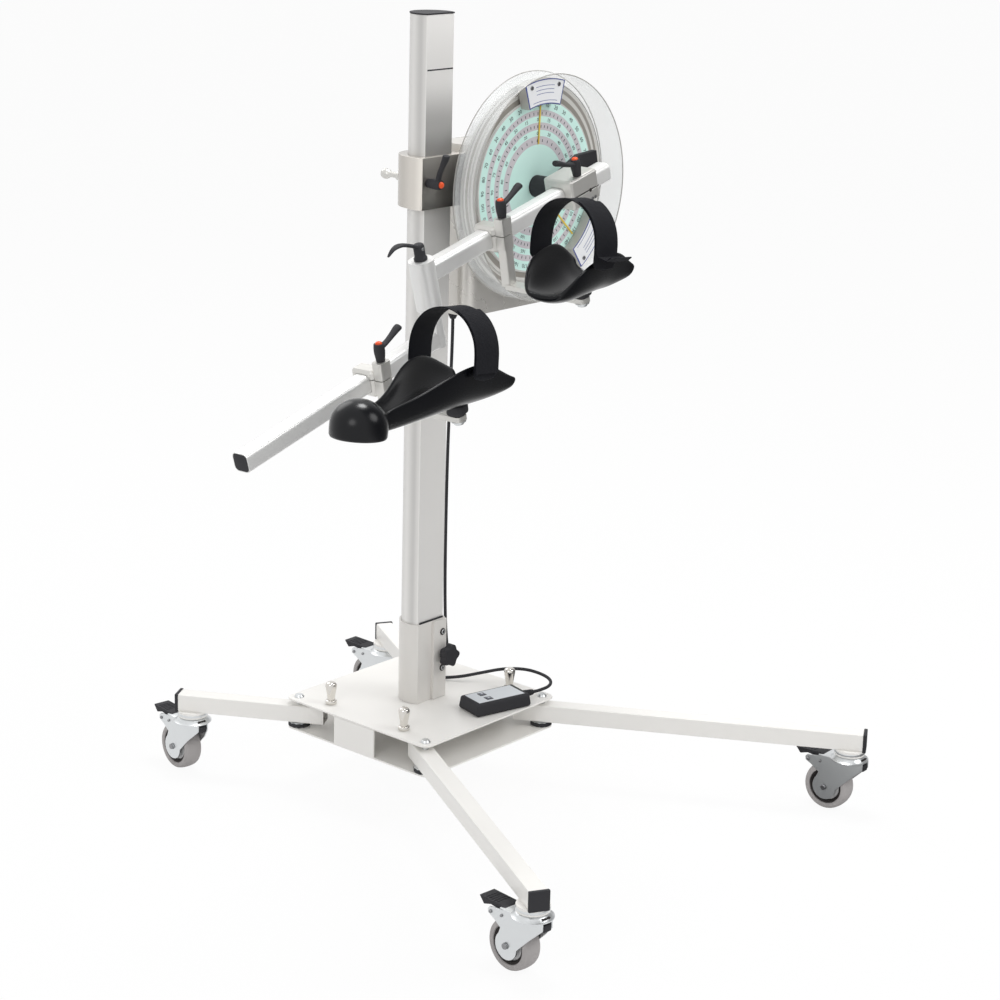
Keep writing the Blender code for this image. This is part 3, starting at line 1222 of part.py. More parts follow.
def build_handset(root):
    """The hand control on the top plate, with its two buttons; its cord leaves at the frame's +X end."""
    frame = empty("handset_frame", (*HANDSET_CENTRE, PLATE_TOP + GAP), (0, 0, HANDSET_TURN), root)
    body = bar("handset", (HANDSET_LENGTH, HANDSET_WIDTH, HANDSET_HEIGHT), (0, 0, HANDSET_HEIGHT / 2), 2,
               HANDSET_CORNER, frame, 3)
    join(body, rod("boot", HANDSET_BOOT_RADIUS * 1.5, (HANDSET_LENGTH / 2 - 0.004, 0, HANDSET_HEIGHT / 2),
                   (HANDSET_LENGTH / 2 + HANDSET_BOOT_LENGTH, 0, HANDSET_HEIGHT / 2), frame, 12,
                   HANDSET_BOOT_RADIUS))
    well = BUTTON_SIZE + 2 * GAP
    well_depth = BUTTON_HEIGHT + BUTTON_TRAVEL
    for label, hand in (("up", 1), ("down", -1)):
        x = -0.020
        y = hand * BUTTON_SPACING / 2
        cut(body, box("well_" + label, (well, well, 2 * well_depth), (x, y, HANDSET_HEIGHT), frame))
        low = HANDSET_HEIGHT - BUTTON_HEIGHT + BUTTON_TRAVEL * 0.5
        button = box("handset_button_" + label, (BUTTON_SIZE, BUTTON_SIZE, BUTTON_HEIGHT),
                     (x, y, low + BUTTON_HEIGHT / 2), frame)
        dress(button, "button_grey", False)
    dress(body, "black_plastic", False)


# The handset's cord: points chosen by hand from the boot's mouth, over the plate, behind
# the sleeve and up the far side of the column to the gland under the housing
CORD_POINTS = (
    (0.1240, -0.1385, 0.1648),
    (0.1330, -0.1407, 0.1648),
    (0.1440, -0.1430, 0.1655),
    (0.1555, -0.1440, 0.1665),
    (0.1660, -0.1415, 0.1680),
    (0.1740, -0.1350, 0.1700),
    (0.1785, -0.1250, 0.1720),
    (0.1790, -0.1135, 0.1740),
    (0.1765, -0.1020, 0.1760),
    (0.1715, -0.0905, 0.1780),
    (0.1645, -0.0790, 0.1790),
    (0.1565, -0.0680, 0.1790),
    (0.1480, -0.0570, 0.1780),
    (0.1390, -0.0465, 0.1760),
    (0.1300, -0.0360, 0.1730),
    (0.1210, -0.0260, 0.1700),
    (0.1120, -0.0160, 0.1670),
    (0.1035, -0.0060, 0.1640),
    (0.0955, 0.0045, 0.1615),
    (0.0880, 0.0155, 0.1595),
    (0.0810, 0.0270, 0.1580),
    (0.0750, 0.0390, 0.1570),
    (0.0720, 0.0520, 0.1568),
    (0.0750, 0.0650, 0.1568),
    (0.0850, 0.0735, 0.1570),
    (0.0975, 0.0735, 0.1580),
    (0.1065, 0.0650, 0.1610),
    (0.1095, 0.0530, 0.1680),
    (0.1075, 0.0420, 0.1790),
    (0.1025, 0.0350, 0.1930),
    (0.0965, 0.0310, 0.2100),
    (0.0910, 0.0290, 0.2350),
    (0.0870, 0.0280, 0.2700),
    (0.0845, 0.0275, 0.3200),
    (0.0830, 0.0270, 0.3900),
    (0.0825, 0.0265, 0.4700),
    (0.0830, 0.0262, 0.5500),
    (0.0845, 0.0258, 0.6200),
    (0.0862, 0.0254, 0.6800),
    (0.0874, 0.0251, 0.7250),
    (0.0879, 0.0250, 0.7550),
    (0.0880, 0.0250, 0.7700),
    (0.0880, 0.0250, 0.7804),
)


def build_cord(root):
    cord = tube("handset_cord", CORD_POINTS, CORD_RADIUS, root, 1)
    dress(cord, "black_plastic")
    length = sum((Vector(b) - Vector(a)).length for a, b in zip(CORD_POINTS, CORD_POINTS[1:]))
    print("handset cord length in metres:", round(length, 3))


def main():
    root = empty("machine_frame")
    build_plates(root)
    for label, side, end, heading in CASTOR_LAYOUT:
        build_pivot_bolt(label, side, end, root)
        pivot, race_x = build_leg(label, side, end, root)
        build_index_plunger(label, side, end, root)
        build_castor(label, heading, pivot, race_x, leg_angle(side, end))
    build_column(root)
    build_sleeve(root)
    slide = build_carriage(root)
    build_housing(slide)
    build_dial(slide)
    build_drive_shaft(slide)
    arm = empty("arm_frame", (DRIVE_X, ARM_Y, DRIVE_Z), (0, -ARM_TILT, 0), slide)
    build_main_clamp(arm)
    tube_slide, elbow = build_upper_tube(arm)
    line = build_lower_tube(elbow)
    upper_lean = ARM_TILT - BRACKET_TILT
    forearm_lean = ARM_TILT + FOREARM_TILT - BRACKET_TILT
    build_upper_pad(*build_pad_clamp("upper", tube_slide, UPPER_CLAMP_X, UPPER_POST_DROP, upper_lean,
                                     UPPER_PIN_REACH))
    build_forearm_pad(*build_pad_clamp("forearm", line, FOREARM_CLAMP_X, FOREARM_POST_DROP, forearm_lean,
                                       FOREARM_PIN_REACH))
    build_handset(root)
    build_cord(root)


main()
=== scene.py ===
import logging
import math
from dataclasses import dataclass
from enum import Enum

import bmesh
import bpy
from mathutils import Matrix, Vector


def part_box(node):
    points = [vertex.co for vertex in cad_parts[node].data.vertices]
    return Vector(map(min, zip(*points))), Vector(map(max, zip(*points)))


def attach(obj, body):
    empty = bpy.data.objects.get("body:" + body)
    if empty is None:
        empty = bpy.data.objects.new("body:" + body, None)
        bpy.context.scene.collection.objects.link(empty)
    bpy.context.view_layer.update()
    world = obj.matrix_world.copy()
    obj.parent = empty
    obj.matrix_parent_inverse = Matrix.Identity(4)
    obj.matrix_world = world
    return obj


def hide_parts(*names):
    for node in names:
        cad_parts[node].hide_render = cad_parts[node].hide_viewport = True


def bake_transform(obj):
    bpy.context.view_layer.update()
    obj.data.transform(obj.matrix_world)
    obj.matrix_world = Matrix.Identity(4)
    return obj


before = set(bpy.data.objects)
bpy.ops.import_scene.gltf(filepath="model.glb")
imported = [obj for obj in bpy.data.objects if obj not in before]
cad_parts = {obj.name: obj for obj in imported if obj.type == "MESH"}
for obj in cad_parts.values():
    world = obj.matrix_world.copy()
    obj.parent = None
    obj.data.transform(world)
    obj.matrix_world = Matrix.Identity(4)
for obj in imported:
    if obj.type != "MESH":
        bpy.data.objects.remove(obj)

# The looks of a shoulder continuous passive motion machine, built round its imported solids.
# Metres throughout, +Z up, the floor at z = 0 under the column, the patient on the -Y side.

Point = tuple[float, float, float]
Pair = tuple[float, float]
Colour = tuple[float, float, float]
Section = tuple[float, float, float, float, float]
BMesh = bmesh.types.BMesh
BMVert = bmesh.types.BMVert
Node = bpy.types.Node
NodeTree = bpy.types.NodeTree
Socket = bpy.types.NodeSocket

LOG = logging.getLogger("shoulder_machine")
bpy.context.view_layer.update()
GAP = 0.0003

TOP_PLATE_Z = 0.1538
PIVOT_OFFSET = 0.143
LEG_SPREAD = 30.0
FRONT_LEG = 0.543
REAR_LEG = 0.211
CASTOR_INSET = 0.026
COLUMN_FLAT_Y = -0.0176
DRIVE_X = 0.1853
DRIVE_Z = 0.9996
ELBOW_X = -0.349
POST_Y = -0.027
BRACKET = 0.008
PAD_TURN = 12
LEVER_SEAT = 0.0345


def turn(axis: str, degrees: float) -> Matrix:
    """A turn about one axis, as a 4x4 matrix."""
    return Matrix.Rotation(math.radians(degrees), 4, axis)


def shift(x: float, y: float, z: float) -> Matrix:
    """A move, as a 4x4 matrix."""
    return Matrix.Translation((x, y, z))


class Corner(Enum):
    """The four corners of the stand: side, end and the heading of the castor."""

    FRONT_LEFT = (-1, -1, 84.8)
    FRONT_RIGHT = (1, -1, 93.7)
    REAR_LEFT = (-1, 1, 82.5)
    REAR_RIGHT = (1, 1, 90.0)

    @property
    def label(self) -> str:
        """The corner's name as the nodes use it."""
        return self.name.lower()

    @property
    def leg_angle(self) -> float:
        """The direction of this corner's leg in degrees."""
        side, end, _ = self.value
        return end * (90 - side * LEG_SPREAD)

    @property
    def leg_length(self) -> float:
        """The length from the pivot to the end of the leg."""
        return FRONT_LEG if self.value[1] < 0 else REAR_LEG

    @property
    def spot(self) -> Pair:
        """The place of the leg's pivot, in X and Y."""
        return self.value[0] * PIVOT_OFFSET, self.value[1] * PIVOT_OFFSET

    def pivot(self) -> Matrix:
        """The leg's frame: its pivot, with +X along the leg."""
        return shift(*self.spot, 0) @ turn("Z", self.leg_angle)

    def swivel(self) -> Matrix:
        """The castor's frame on its swivel axis, with +X to the trailing side."""
        turned = turn("Z", self.value[2] - self.leg_angle)
        return self.pivot() @ shift(self.leg_length - CASTOR_INSET, 0, 0) @ turned


ARM = shift(DRIVE_X, -0.130, DRIVE_Z) @ turn("Y", -15.2)
ELBOW = ARM @ shift(ELBOW_X, 0, 0) @ turn("Z", 2.0)
LOWER_LINE = ELBOW @ shift(0, 0, -0.104) @ turn("Y", -0.5)
UPPER_POST = ARM @ shift(-0.194, POST_Y, 0) @ turn("Y", 4.2)
FOREARM_POST = LOWER_LINE @ shift(-0.155, POST_Y, 0) @ turn("Y", 4.7)
UPPER_PIVOT = UPPER_POST @ shift(0, -0.149, -0.080 + BRACKET + GAP) @ turn("Z", PAD_TURN)
FOREARM_PIVOT = FOREARM_POST @ shift(0, -0.143, -0.034 + BRACKET + GAP) @ turn("Z", PAD_TURN)
LEVEL = turn("Z", -PAD_TURN) @ turn("Y", 16) @ turn("Z", PAD_TURN)
DIAL = shift(DRIVE_X, 0, DRIVE_Z) @ turn("X", 90)
HANDSET = shift(0.050, -0.120, TOP_PLATE_Z) @ turn("Z", -14)


# Node tools


def feed(tree: NodeTree, node: Node, inputs: dict[str | int, object]) -> None:
    """Sets a node's inputs; a socket given as a value is linked.

    Args:
        tree: the tree that holds the node.
        node: the node.
        inputs: values or sockets by the input's name or number.
    """
    for key, value in inputs.items():
        if isinstance(value, Socket):
            tree.links.new(value, node.inputs[key])
        else:
            node.inputs[key].default_value = value


def add_node(tree: NodeTree, kind: str, inputs: dict[str | int, object] | None = None,
             **settings: object) -> Node:
    """Adds a shader node.

    Args:
        tree: the tree that gets it.
        kind: its type, such as Math or TexNoise.
        inputs: values or sockets for its inputs.
        settings: its own settings, such as its operation.

    Returns:
        The new node.
    """
    node = tree.nodes.new("ShaderNode" + kind)
    for name, value in settings.items():
        setattr(node, name, value)
    feed(tree, node, inputs or {})
    return node


def new_group(name: str, inputs: dict[str, str],
              outputs: dict[str, str]) -> tuple[NodeTree, Node, Node]:
    """Makes an empty group with its sockets.

    Args:
        name: the group's name.
        inputs: the kind of each input by its name.
        outputs: the kind of each output by its name.

    Returns:
        The group, its input node and its output node.
    """
    group = bpy.data.node_groups.new(name, "ShaderNodeTree")
    for way, sockets in (("INPUT", inputs), ("OUTPUT", outputs)):
        for label, kind in sockets.items():
            group.interface.new_socket(name=label, in_out=way, socket_type="NodeSocket" + kind)
    return group, group.nodes.new("NodeGroupInput"), group.nodes.new("NodeGroupOutput")


def detail_group() -> NodeTree:
    """The shared surface detail: fine grain, broad wear and tint.

    Returns:
        A node group from coordinates, a colour and a roughness to a colour, a roughness and a height.
    """
    found = bpy.data.node_groups.get("surface_detail")
    if found:
        return found
    group, source, result = new_group(
        "surface_detail",
        {"Vector": "Vector", "Colour": "Color", "Roughness": "Float", "Grain Scale": "Float", "Wear": "Float",
         "Tint": "Float"},
        {"Colour": "Color", "Roughness": "Float", "Height": "Float"})
    given = source.outputs
    broad_scale = 14.0
    grain = add_node(group, "TexNoise", {
        "Vector": given["Vector"], "Scale": given["Grain Scale"], "Detail": 3.0})
    broad = add_node(group, "TexNoise", {"Vector": given["Vector"], "Scale": broad_scale, "Detail": 5.0})
    centred = add_node(group, "Math", {0: broad.outputs["Fac"], 1: 0.5}, operation="SUBTRACT")
    wear = add_node(group, "Math", {0: centred.outputs[0], 1: given["Wear"], 2: given["Roughness"]},
                    operation="MULTIPLY_ADD")
    tint = add_node(group, "Math", {0: centred.outputs[0], 1: given["Tint"], 2: 1.0},
                    operation="MULTIPLY_ADD")
    shade = add_node(group, "VectorMath", {0: given["Colour"], "Scale": tint.outputs[0]}, operation="SCALE")
    feed(group, result, {
        "Colour": shade.outputs[0], "Roughness": wear.outputs[0], "Height": grain.outputs["Fac"]})
    return group


# Finishes


@dataclass(frozen=True)
class Finish:
    """A plain finish with fine grain and wear.

    Args:
        name: the material's name.
        colour: its linear colour.
        roughness: its mean roughness.
        metallic: 1 for bare metal.
        grain_scale: grains in a metre.
        bump: the height of the grain in metres.
        wear: how far the roughness wanders.
        tint: how far the colour wanders.
        stretch: the grain's scale along X, Y and Z, for brushed metal.
        specular: how strongly a non-metal mirrors its surroundings.
    """

    name: str
    colour: Colour
    roughness: float
    metallic: float = 0.0
    grain_scale: float = 900.0
    bump: float = 0.00003
    wear: float = 0.12
    tint: float = 0.06
    stretch: Point = (1.0, 1.0, 1.0)
    specular: float = 0.5

    def material(self) -> bpy.types.Material:
        """Makes the material, once.

        Returns:
            The material, with all its nodes.
        """
        found = bpy.data.materials.get(self.name)
        if found:
            return found
        material = bpy.data.materials.new(self.name)
        material.use_nodes = True
        tree = material.node_tree
        place = add_node(tree, "TexCoord").outputs["Object"]
        mapping = add_node(tree, "Mapping", {"Scale": self.stretch, "Vector": place})
        detail = add_node(tree, "Group", {
            "Vector": mapping.outputs["Vector"], "Colour": (*self.colour, 1.0), "Roughness": self.roughness,
            "Grain Scale": self.grain_scale, "Wear": self.wear, "Tint": self.tint}, node_tree=detail_group())
        feed(tree, detail, self.pattern(tree, place))
        height = self.weave(tree, place) or detail.outputs["Height"]
        bump = add_node(tree, "Bump", {"Distance": self.bump, "Height": height})
        feed(tree, tree.nodes["Principled BSDF"], {
            "Metallic": self.metallic, "Specular IOR Level": self.specular,
            "Base Color": detail.outputs["Colour"], "Roughness": detail.outputs["Roughness"],
            "Normal": bump.outputs["Normal"], **self.extras()})
        return material

    def pattern(self, tree: NodeTree, place: Socket) -> dict[str, Socket]:
        """The colour socket that varies over the piece; a plain finish has none."""
        return {}

    def weave(self, tree: NodeTree, place: Socket) -> Socket | None:
        """A height in place of the grain's; a plain finish has none."""
        return None

    def extras(self) -> dict[str, float]:
        """More values for the shader; a plain finish has none."""
        return {}


@dataclass(frozen=True)
class ClearFinish(Finish):
    """Clear moulded plastic."""

    def extras(self) -> dict[str, float]:
        """Lets light through the plastic."""
        return {"Transmission Weight": 1.0, "IOR": 1.10, "Alpha": 0.42}


@dataclass(frozen=True)
class WebbingFinish(Finish):
    """Woven webbing.

    Args:
        rib: the width of a rib.
    """

    rib: float = 0.0016

    def weave(self, tree: NodeTree, place: Socket) -> Socket | None:
        """Two crossed waves: ribs across the band and yarns along it."""
        scale = 1.0 / (self.rib * 6.28) * 2
        values = {"Scale": scale, "Distortion": 0.6, "Vector": place}
        across, along = (add_node(tree, "TexWave", values, bands_direction=axis) for axis in ("X", "Z"))
        both = add_node(tree, "Math", {0: across.outputs["Fac"], 1: along.outputs["Fac"]}, operation="ADD")
        return both.outputs[0]

    def extras(self) -> dict[str, float]:
        """A soft sheen over the yarns."""
        return {"Sheen Weight": 0.08, "Sheen Roughness": 0.5}


@dataclass(frozen=True)
class DialFinish(Finish):
    """Rings round the drive's axis: print, and outer bands of painted light and shade.

    Args:
        centre: the axis, in X and Z.
        reach: the radius at which the ramp ends.
        rings: the outer radius and colour of each ring, from the middle out.
    """

    centre: Pair = (DRIVE_X, DRIVE_Z)
    reach: float = 0.2
    rings: tuple[tuple[float, Colour], ...] = ()

    def pattern(self, tree: NodeTree, place: Socket) -> dict[str, Socket]:
        """Picks the ring's colour by the distance from the axis.

        Args:
            tree: the material's nodes.
            place: the object coordinates.

        Returns:
            The colour's socket by its input's name.
        """
        middle = (-self.centre[0], 0.0, -self.centre[1])
        offset = add_node(tree, "Mapping", {"Location": middle, "Vector": place})
        flat = add_node(tree, "VectorMath", {0: offset.outputs["Vector"], 1: (1.0, 0.0, 1.0)},
                        operation="MULTIPLY")
        length = add_node(tree, "VectorMath", {0: flat.outputs[0]}, operation="LENGTH")
        share = add_node(tree, "Math", {0: length.outputs["Value"], 1: self.reach}, operation="DIVIDE")
        ramp = add_node(tree, "ValToRGB", {"Fac": share.outputs[0]})
        ramp.color_ramp.interpolation = "CONSTANT"
        points = ramp.color_ramp.elements
        points.remove(points[1])
        start = self.rings[0][0]
        points[0].color = (*self.rings[0][1], 1.0)
        for outer, colour in self.rings[1:]:
            points.new(start / self.reach).color = (*colour, 1.0)
            start = outer
        return {"Colour": ramp.outputs["Color"]}


@dataclass(frozen=True)
class ColumnFinish(Finish):
    """Satin metal whose flat and round sides keep soft bands of light and shade.

    Args:
        flat_y: the flat is on the near side of this place.
        flat_tones: heights and greys up the flat, as painted reflection and shade.
        round_tones: depths and greys round the curved side, as painted light and shade.
    """

    flat_y: float = -0.0172
    # Painted reflection and shade: the flat is darkest next to the carriage and lighter above and below it;
    # the curved side has light and dark bands from front to back.
    flat_tones: tuple[Pair, ...] = (
        (0.00, 0.74), (0.66, 0.72), (0.90, 0.56), (0.98, 0.46), (1.06, 0.25), (1.11, 0.42), (1.185, 0.80),
        (1.30, 0.97))
    round_tones: tuple[Pair, ...] = (
        (-0.0176, 0.97), (-0.0150, 0.80), (-0.0080, 0.66), (0.0060, 0.86), (0.0180, 0.76), (0.0280, 0.46),
        (0.0350, 0.52))

    def pattern(self, tree: NodeTree, place: Socket) -> dict[str, Socket]:
        """Bands of painted light, shade and reflection by height on the flat and by depth round the side.

        Args:
            tree: the material's nodes.
            place: the object coordinates.

        Returns:
            The colour's socket by its input's name.
        """
        split = add_node(tree, "SeparateXYZ", {0: place}).outputs
        on_flat = add_node(tree, "Math", {0: split["Y"], 1: self.flat_y}, operation="LESS_THAN")
        mix = add_node(tree, "Mix", {
            0: on_flat.outputs[0], 6: self.ramp(tree, split["Y"], self.round_tones),
            7: self.ramp(tree, split["Z"], self.flat_tones)}, data_type="RGBA")
        return {"Colour": mix.outputs[2]}

    def ramp(self, tree: NodeTree, source: Socket,
             tones: tuple[Pair, ...]) -> Socket:
        """A soft ramp of painted light and shade from a place to a tone of this finish's colour.

        Args:
            tree: the material's nodes.
            source: the coordinate.
            tones: places and greys in order.

        Returns:
            The socket with the colour.
        """
        low, high = tones[0][0], tones[-1][0]
        span = add_node(tree, "MapRange", {"From Min": low, "From Max": high, "Value": source})
        ramp = add_node(tree, "ValToRGB", {"Fac": span.outputs["Result"]})
        ramp.color_ramp.interpolation = "EASE"
        points = ramp.color_ramp.elements
        points.remove(points[1])
        for index, (position, tone) in enumerate(tones):
            share = (position - low) / (high - low)
            point = points[0] if index == 0 else points.new(share)
            point.position = share
            point.color = (*(tone * channel for channel in self.colour), 1.0)
        return ramp.outputs["Color"]


TURQUOISE = (0.66, 0.93, 0.86)
RING_GREY = (0.62, 0.59, 0.62)

PAINT = Finish("satin_paint", (0.87, 0.855, 0.825), 0.34, bump=0.00002, tint=0.03)
SLEEVE_PAINT = Finish("sleeve_paint", (0.74, 0.72, 0.69), 0.30, 0.15, bump=0.00002, tint=0.03)
# The column's greys are painted reflection, light and shade.
COLUMN_METAL_PAINTED_SHADE = ColumnFinish("column_metal", (0.97, 0.955, 0.93), 0.34, 0.06, bump=0.00001,
                            stretch=(1.0, 1.0, 0.02))
# Painted reflection and shade: the carriage's flat face is dark and grows lighter towards its top, and its
# curved sides are lighter in front and darker behind.
CARRIAGE_METAL_PAINTED_SHADE = ColumnFinish(
    "carriage_metal", (1.0, 0.95, 0.88), 0.20, 0.55, bump=0.000005, tint=0.04, flat_y=-0.0296,
    flat_tones=((0.980, 0.12), (1.000, 0.17), (1.035, 0.26), (1.062, 0.36)),
    round_tones=((-0.030, 0.92), (-0.012, 0.72), (0.020, 0.56), (0.050, 0.42)))
HOUSING_METAL = Finish("housing_metal", (0.70, 0.68, 0.645), 0.28, 0.55, bump=0.00001, tint=0.03)
POLISHED = Finish("polished_metal", (0.60, 0.57, 0.53), 0.13, 1.0, bump=0.000003, wear=0.05)
TUBE_METAL = Finish("satin_aluminium", (0.84, 0.84, 0.83), 0.40, 0.45, bump=0.000006,
                    stretch=(0.03, 1.0, 1.0))
CLAMP_METAL = Finish("cast_aluminium", (0.70, 0.69, 0.66), 0.36, 0.7, bump=0.00003, grain_scale=1400)
ZINC = Finish("bright_zinc", (0.74, 0.76, 0.77), 0.30, 0.9, bump=0.00001, tint=0.10, wear=0.2)
SCREW_STEEL = Finish("screw_steel", (0.30, 0.30, 0.31), 0.3, 1.0)
BLACK = Finish("black_plastic", (0.007, 0.007, 0.008), 0.40, bump=0.00004, specular=0.2)
GLOSS_BLACK = Finish("pad_black", (0.003, 0.0034, 0.005), 0.24, bump=0.000006, wear=0.08, specular=0.3)
WEBBING = WebbingFinish("black_webbing", (0.006, 0.0065, 0.010), 0.85, bump=0.0003, tint=0.25, specular=0.1)
TYRE = Finish("grey_tyre", (0.40, 0.38, 0.375), 0.6, grain_scale=1600, bump=0.00006, tint=0.2, specular=0.3)
# Dark rubber, which also serves as painted shade in the castor's slot, the main clamp's split and hole and
# the cover's vents.
DARK_RUBBER_AND_SHADE = Finish("dark_rubber", (0.030, 0.026, 0.025), 0.6, specular=0.2)
HUB_PLASTIC = Finish("hub_grey", (0.60, 0.60, 0.60), 0.35)
ORANGE = Finish("orange_button", (0.86, 0.09, 0.01), 0.35)
CLEAR = ClearFinish("clear_plastic", (0.93, 0.94, 0.94), 0.06, bump=0.000002, tint=0.0, wear=0.02)
# Grey for the lines that paint reflections along the clear pan's edges.
CLEAR_EDGE_REFLECTION = Finish("clear_edge", (0.42, 0.41, 0.39), 0.2, bump=0.000002)
DIAL_PRINT_AND_SHADE = DialFinish("dial_print", TURQUOISE, 0.32, bump=0.000005, tint=0.02, rings=(
    (0.067, TURQUOISE), (0.080, RING_GREY), (0.090, TURQUOISE), (0.102, RING_GREY), (0.112, TURQUOISE),
    # Outside 0.138 the grey and dark bands are not print: they paint the light and shade on the rim's stepped
    # walls.
    (0.122, RING_GREY), (0.138, TURQUOISE), (0.1412, (0.62, 0.62, 0.60)), (0.150, (0.30, 0.28, 0.25)),
    (0.158, (0.66, 0.65, 0.62)), (0.164, (0.34, 0.32, 0.29)), (0.200, (0.68, 0.67, 0.64)),
))
PRINT_INK = Finish("dial_ink", (0.012, 0.035, 0.04), 0.5)
LABEL_WHITE = Finish("label_white", (0.86, 0.87, 0.89), 0.35)
LABEL_BLUE = Finish("label_blue", (0.045, 0.075, 0.30), 0.4)
POINTER_YELLOW = Finish("pointer_yellow", (0.80, 0.58, 0.06), 0.4)
STOP_GREY = Finish("stop_grey", (0.50, 0.49, 0.46), 0.4, 0.3)
MEMBRANE = Finish("membrane_grey", (0.62, 0.65, 0.68), 0.4)
KEY_GREY = Finish("key_grey", (0.16, 0.17, 0.20), 0.5)
MOTOR_STEEL = Finish("motor_steel", (0.30, 0.31, 0.33), 0.4, 1.0)
BOARD_GREEN = Finish("board_green", (0.03, 0.20, 0.09), 0.45)
BRASS = Finish("contact_brass", (0.62, 0.47, 0.20), 0.3, 1.0)


# Mesh tools


def new_piece(name: str, bm: BMesh, finish: Finish, body: str | None, nodes: tuple[str, ...] = (),
              sharp: float = 35.0, place: Matrix | None = None, clean: bool = True) -> bpy.types.Object:
    """Turns a bmesh into a finished piece that rides on a body.

    Args:
        name: the piece's name.
        bm: its mesh, which is freed here.
        finish: its material.
        body: the CAD body that it rides on, or none for a piece that rides on no body.
        nodes: the CAD nodes that it stands for.
        sharp: edges over this many degrees stay sharp.
        place: where the mesh goes, in world axes.
        clean: whether to merge doubles first.

    Returns:
        The object, at the origin with its place in its mesh.
    """
    if clean:
        bmesh.ops.remove_doubles(bm, verts=bm.verts, dist=0.000002)
    if place is not None:
        bm.transform(place)
    bmesh.ops.recalc_face_normals(bm, faces=bm.faces)
    mesh = bpy.data.meshes.new(name)
    bm.to_mesh(mesh)
    bm.free()
    mesh.materials.append(finish.material())
    for polygon in mesh.polygons:
        polygon.use_smooth = True
    mesh.set_sharp_from_angle(angle=math.radians(sharp))
    piece = bpy.data.objects.new(name, mesh)
    bpy.context.scene.collection.objects.link(piece)
    if body:
        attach(piece, body)
    if nodes:
        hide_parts(*nodes)
    LOG.info("piece %s, %s", name, finish.name)
    return piece


def ease_edges(piece: bpy.types.Object, width: float, segments: int, degrees: float) -> None:
    """Eases a piece's sharp edges with a live bevel.

    Args:
        piece: the piece.
        width: the width of an eased edge.
        segments: how many steps it has.
        degrees: edges over this angle are eased.
    """
    ease = piece.modifiers.new("eased_edges", "BEVEL")
    ease.width = width
    ease.segments = segments
    ease.limit_method = "ANGLE"
    ease.angle_limit = math.radians(degrees)
    ease.use_clamp_overlap = True


def carry(node: str, finish: Finish, body: str, bevel: float = 0.0006, segments: int = 2) -> None:
    """Dresses a CAD node's own form, with its edges eased and a detailed finish.

    Args:
        node: the CAD node.
        finish: its material.
        body: the body that it rides on.
        bevel: the width of the eased edges.
        segments: how many steps an eased edge has.
    """
    bm = bmesh.new()
    bm.from_mesh(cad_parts[node].data)
    bmesh.ops.remove_doubles(bm, verts=bm.verts, dist=0.00002)
    bmesh.ops.dissolve_limit(bm, angle_limit=math.radians(0.5), verts=bm.verts, edges=bm.edges)
    piece = new_piece(node + "_dressed", bm, finish, body, (node,), 180.0, clean=False)
    ease_edges(piece, bevel, segments, 32)
    even = piece.modifiers.new("even_normals", "WEIGHTED_NORMAL")
    even.keep_sharp = False
    even.weight = 80


def subdivide(piece: bpy.types.Object, levels: int) -> None:
    """A live subdivision with the same levels in view and render."""
    modifier = piece.modifiers.new("smooth_form", "SUBSURF")
    modifier.levels = levels
    modifier.render_levels = levels


def merge(target: BMesh, other: BMesh) -> None:
    """Adds one bmesh to another and frees it."""
    mesh = bpy.data.meshes.new("merge_draft")
    other.to_mesh(mesh)
    target.from_mesh(mesh)
    bpy.data.meshes.remove(mesh)
    other.free()


def join(parts: list[BMesh]) -> BMesh:
    """One bmesh from several, which are freed."""
    whole = bmesh.new()
    for part in parts:
        merge(whole, part)
    return whole


def lathe(profile: list[Pair], steps: int = 48, place: Matrix | None = None) -> BMesh:
    """A profile of (radius, height) spun about Z.

    Args:
        profile: the points in order.
        steps: how many steps a full turn has.
        place: where the spun mesh goes.

    Returns:
        The spun mesh.
    """
    bm = bmesh.new()
    verts = [bm.verts.new((radius, 0.0, height)) for radius, height in profile]
    edges = [bm.edges.new(pair) for pair in zip(verts, verts[1:])]
    bmesh.ops.spin(bm, geom=verts + edges, cent=(0, 0, 0), axis=(0, 0, 1), angle=2 * math.pi,
                   steps=steps, use_merge=True)
    bmesh.ops.remove_doubles(bm, verts=bm.verts, dist=0.000005)
    if place is not None:
        bm.transform(place)
    return bm


def box(size: Point, place: Matrix) -> BMesh:
    """A plain box with its middle on a place."""
    bm = bmesh.new()
    bmesh.ops.create_cube(bm, size=1.0, matrix=place @ Matrix.Diagonal((*size, 1.0)))
    return bm


def rounded_box(size: Point, centre: Point, radius: float, segments: int = 4) -> BMesh:
    """A box with all its edges rounded.

    Args:
        size: its width, depth and height.
        centre: its middle.
        radius: the radius of its edges.
        segments: how many steps an edge has.

    Returns:
        The box.
    """
    bm = box(size, shift(*centre))
    bmesh.ops.bevel(bm, geom=bm.edges[:], offset=radius, segments=segments, profile=0.5,
                    affect="EDGES", material=-1, clamp_overlap=True)
    return bm


def disc(radius: float, thickness: float, place: Matrix, sides: int = 32,
         edge: float = 0.0003) -> BMesh:
    """A short cylinder along Z with eased rims.

    Args:
        radius: its radius.
        thickness: its height.
        place: the frame at its middle.
        sides: how many sides it has.
        edge: the width of the eased rims.

    Returns:
        The cylinder.
    """
    half = thickness / 2
    return lathe([(0, half), (radius - edge, half), (radius, half - edge), (radius, edge - half),
                  (radius - edge, -half), (0, -half)], sides, place)


def socket_screw(radius: float, height: float, place: Matrix) -> BMesh:
    """A cap screw's head with a recess.

    Args:
        radius: the head's radius.
        height: its height.
        place: the head stands on this frame's XY plane.

    Returns:
        The head.
    """
    return lathe([(0, 0), (radius, 0), (radius, height * 0.85), (radius * 0.9, height),
                  (radius * 0.55, height), (radius * 0.52, height * 0.45), (0, height * 0.4)], 24, place)


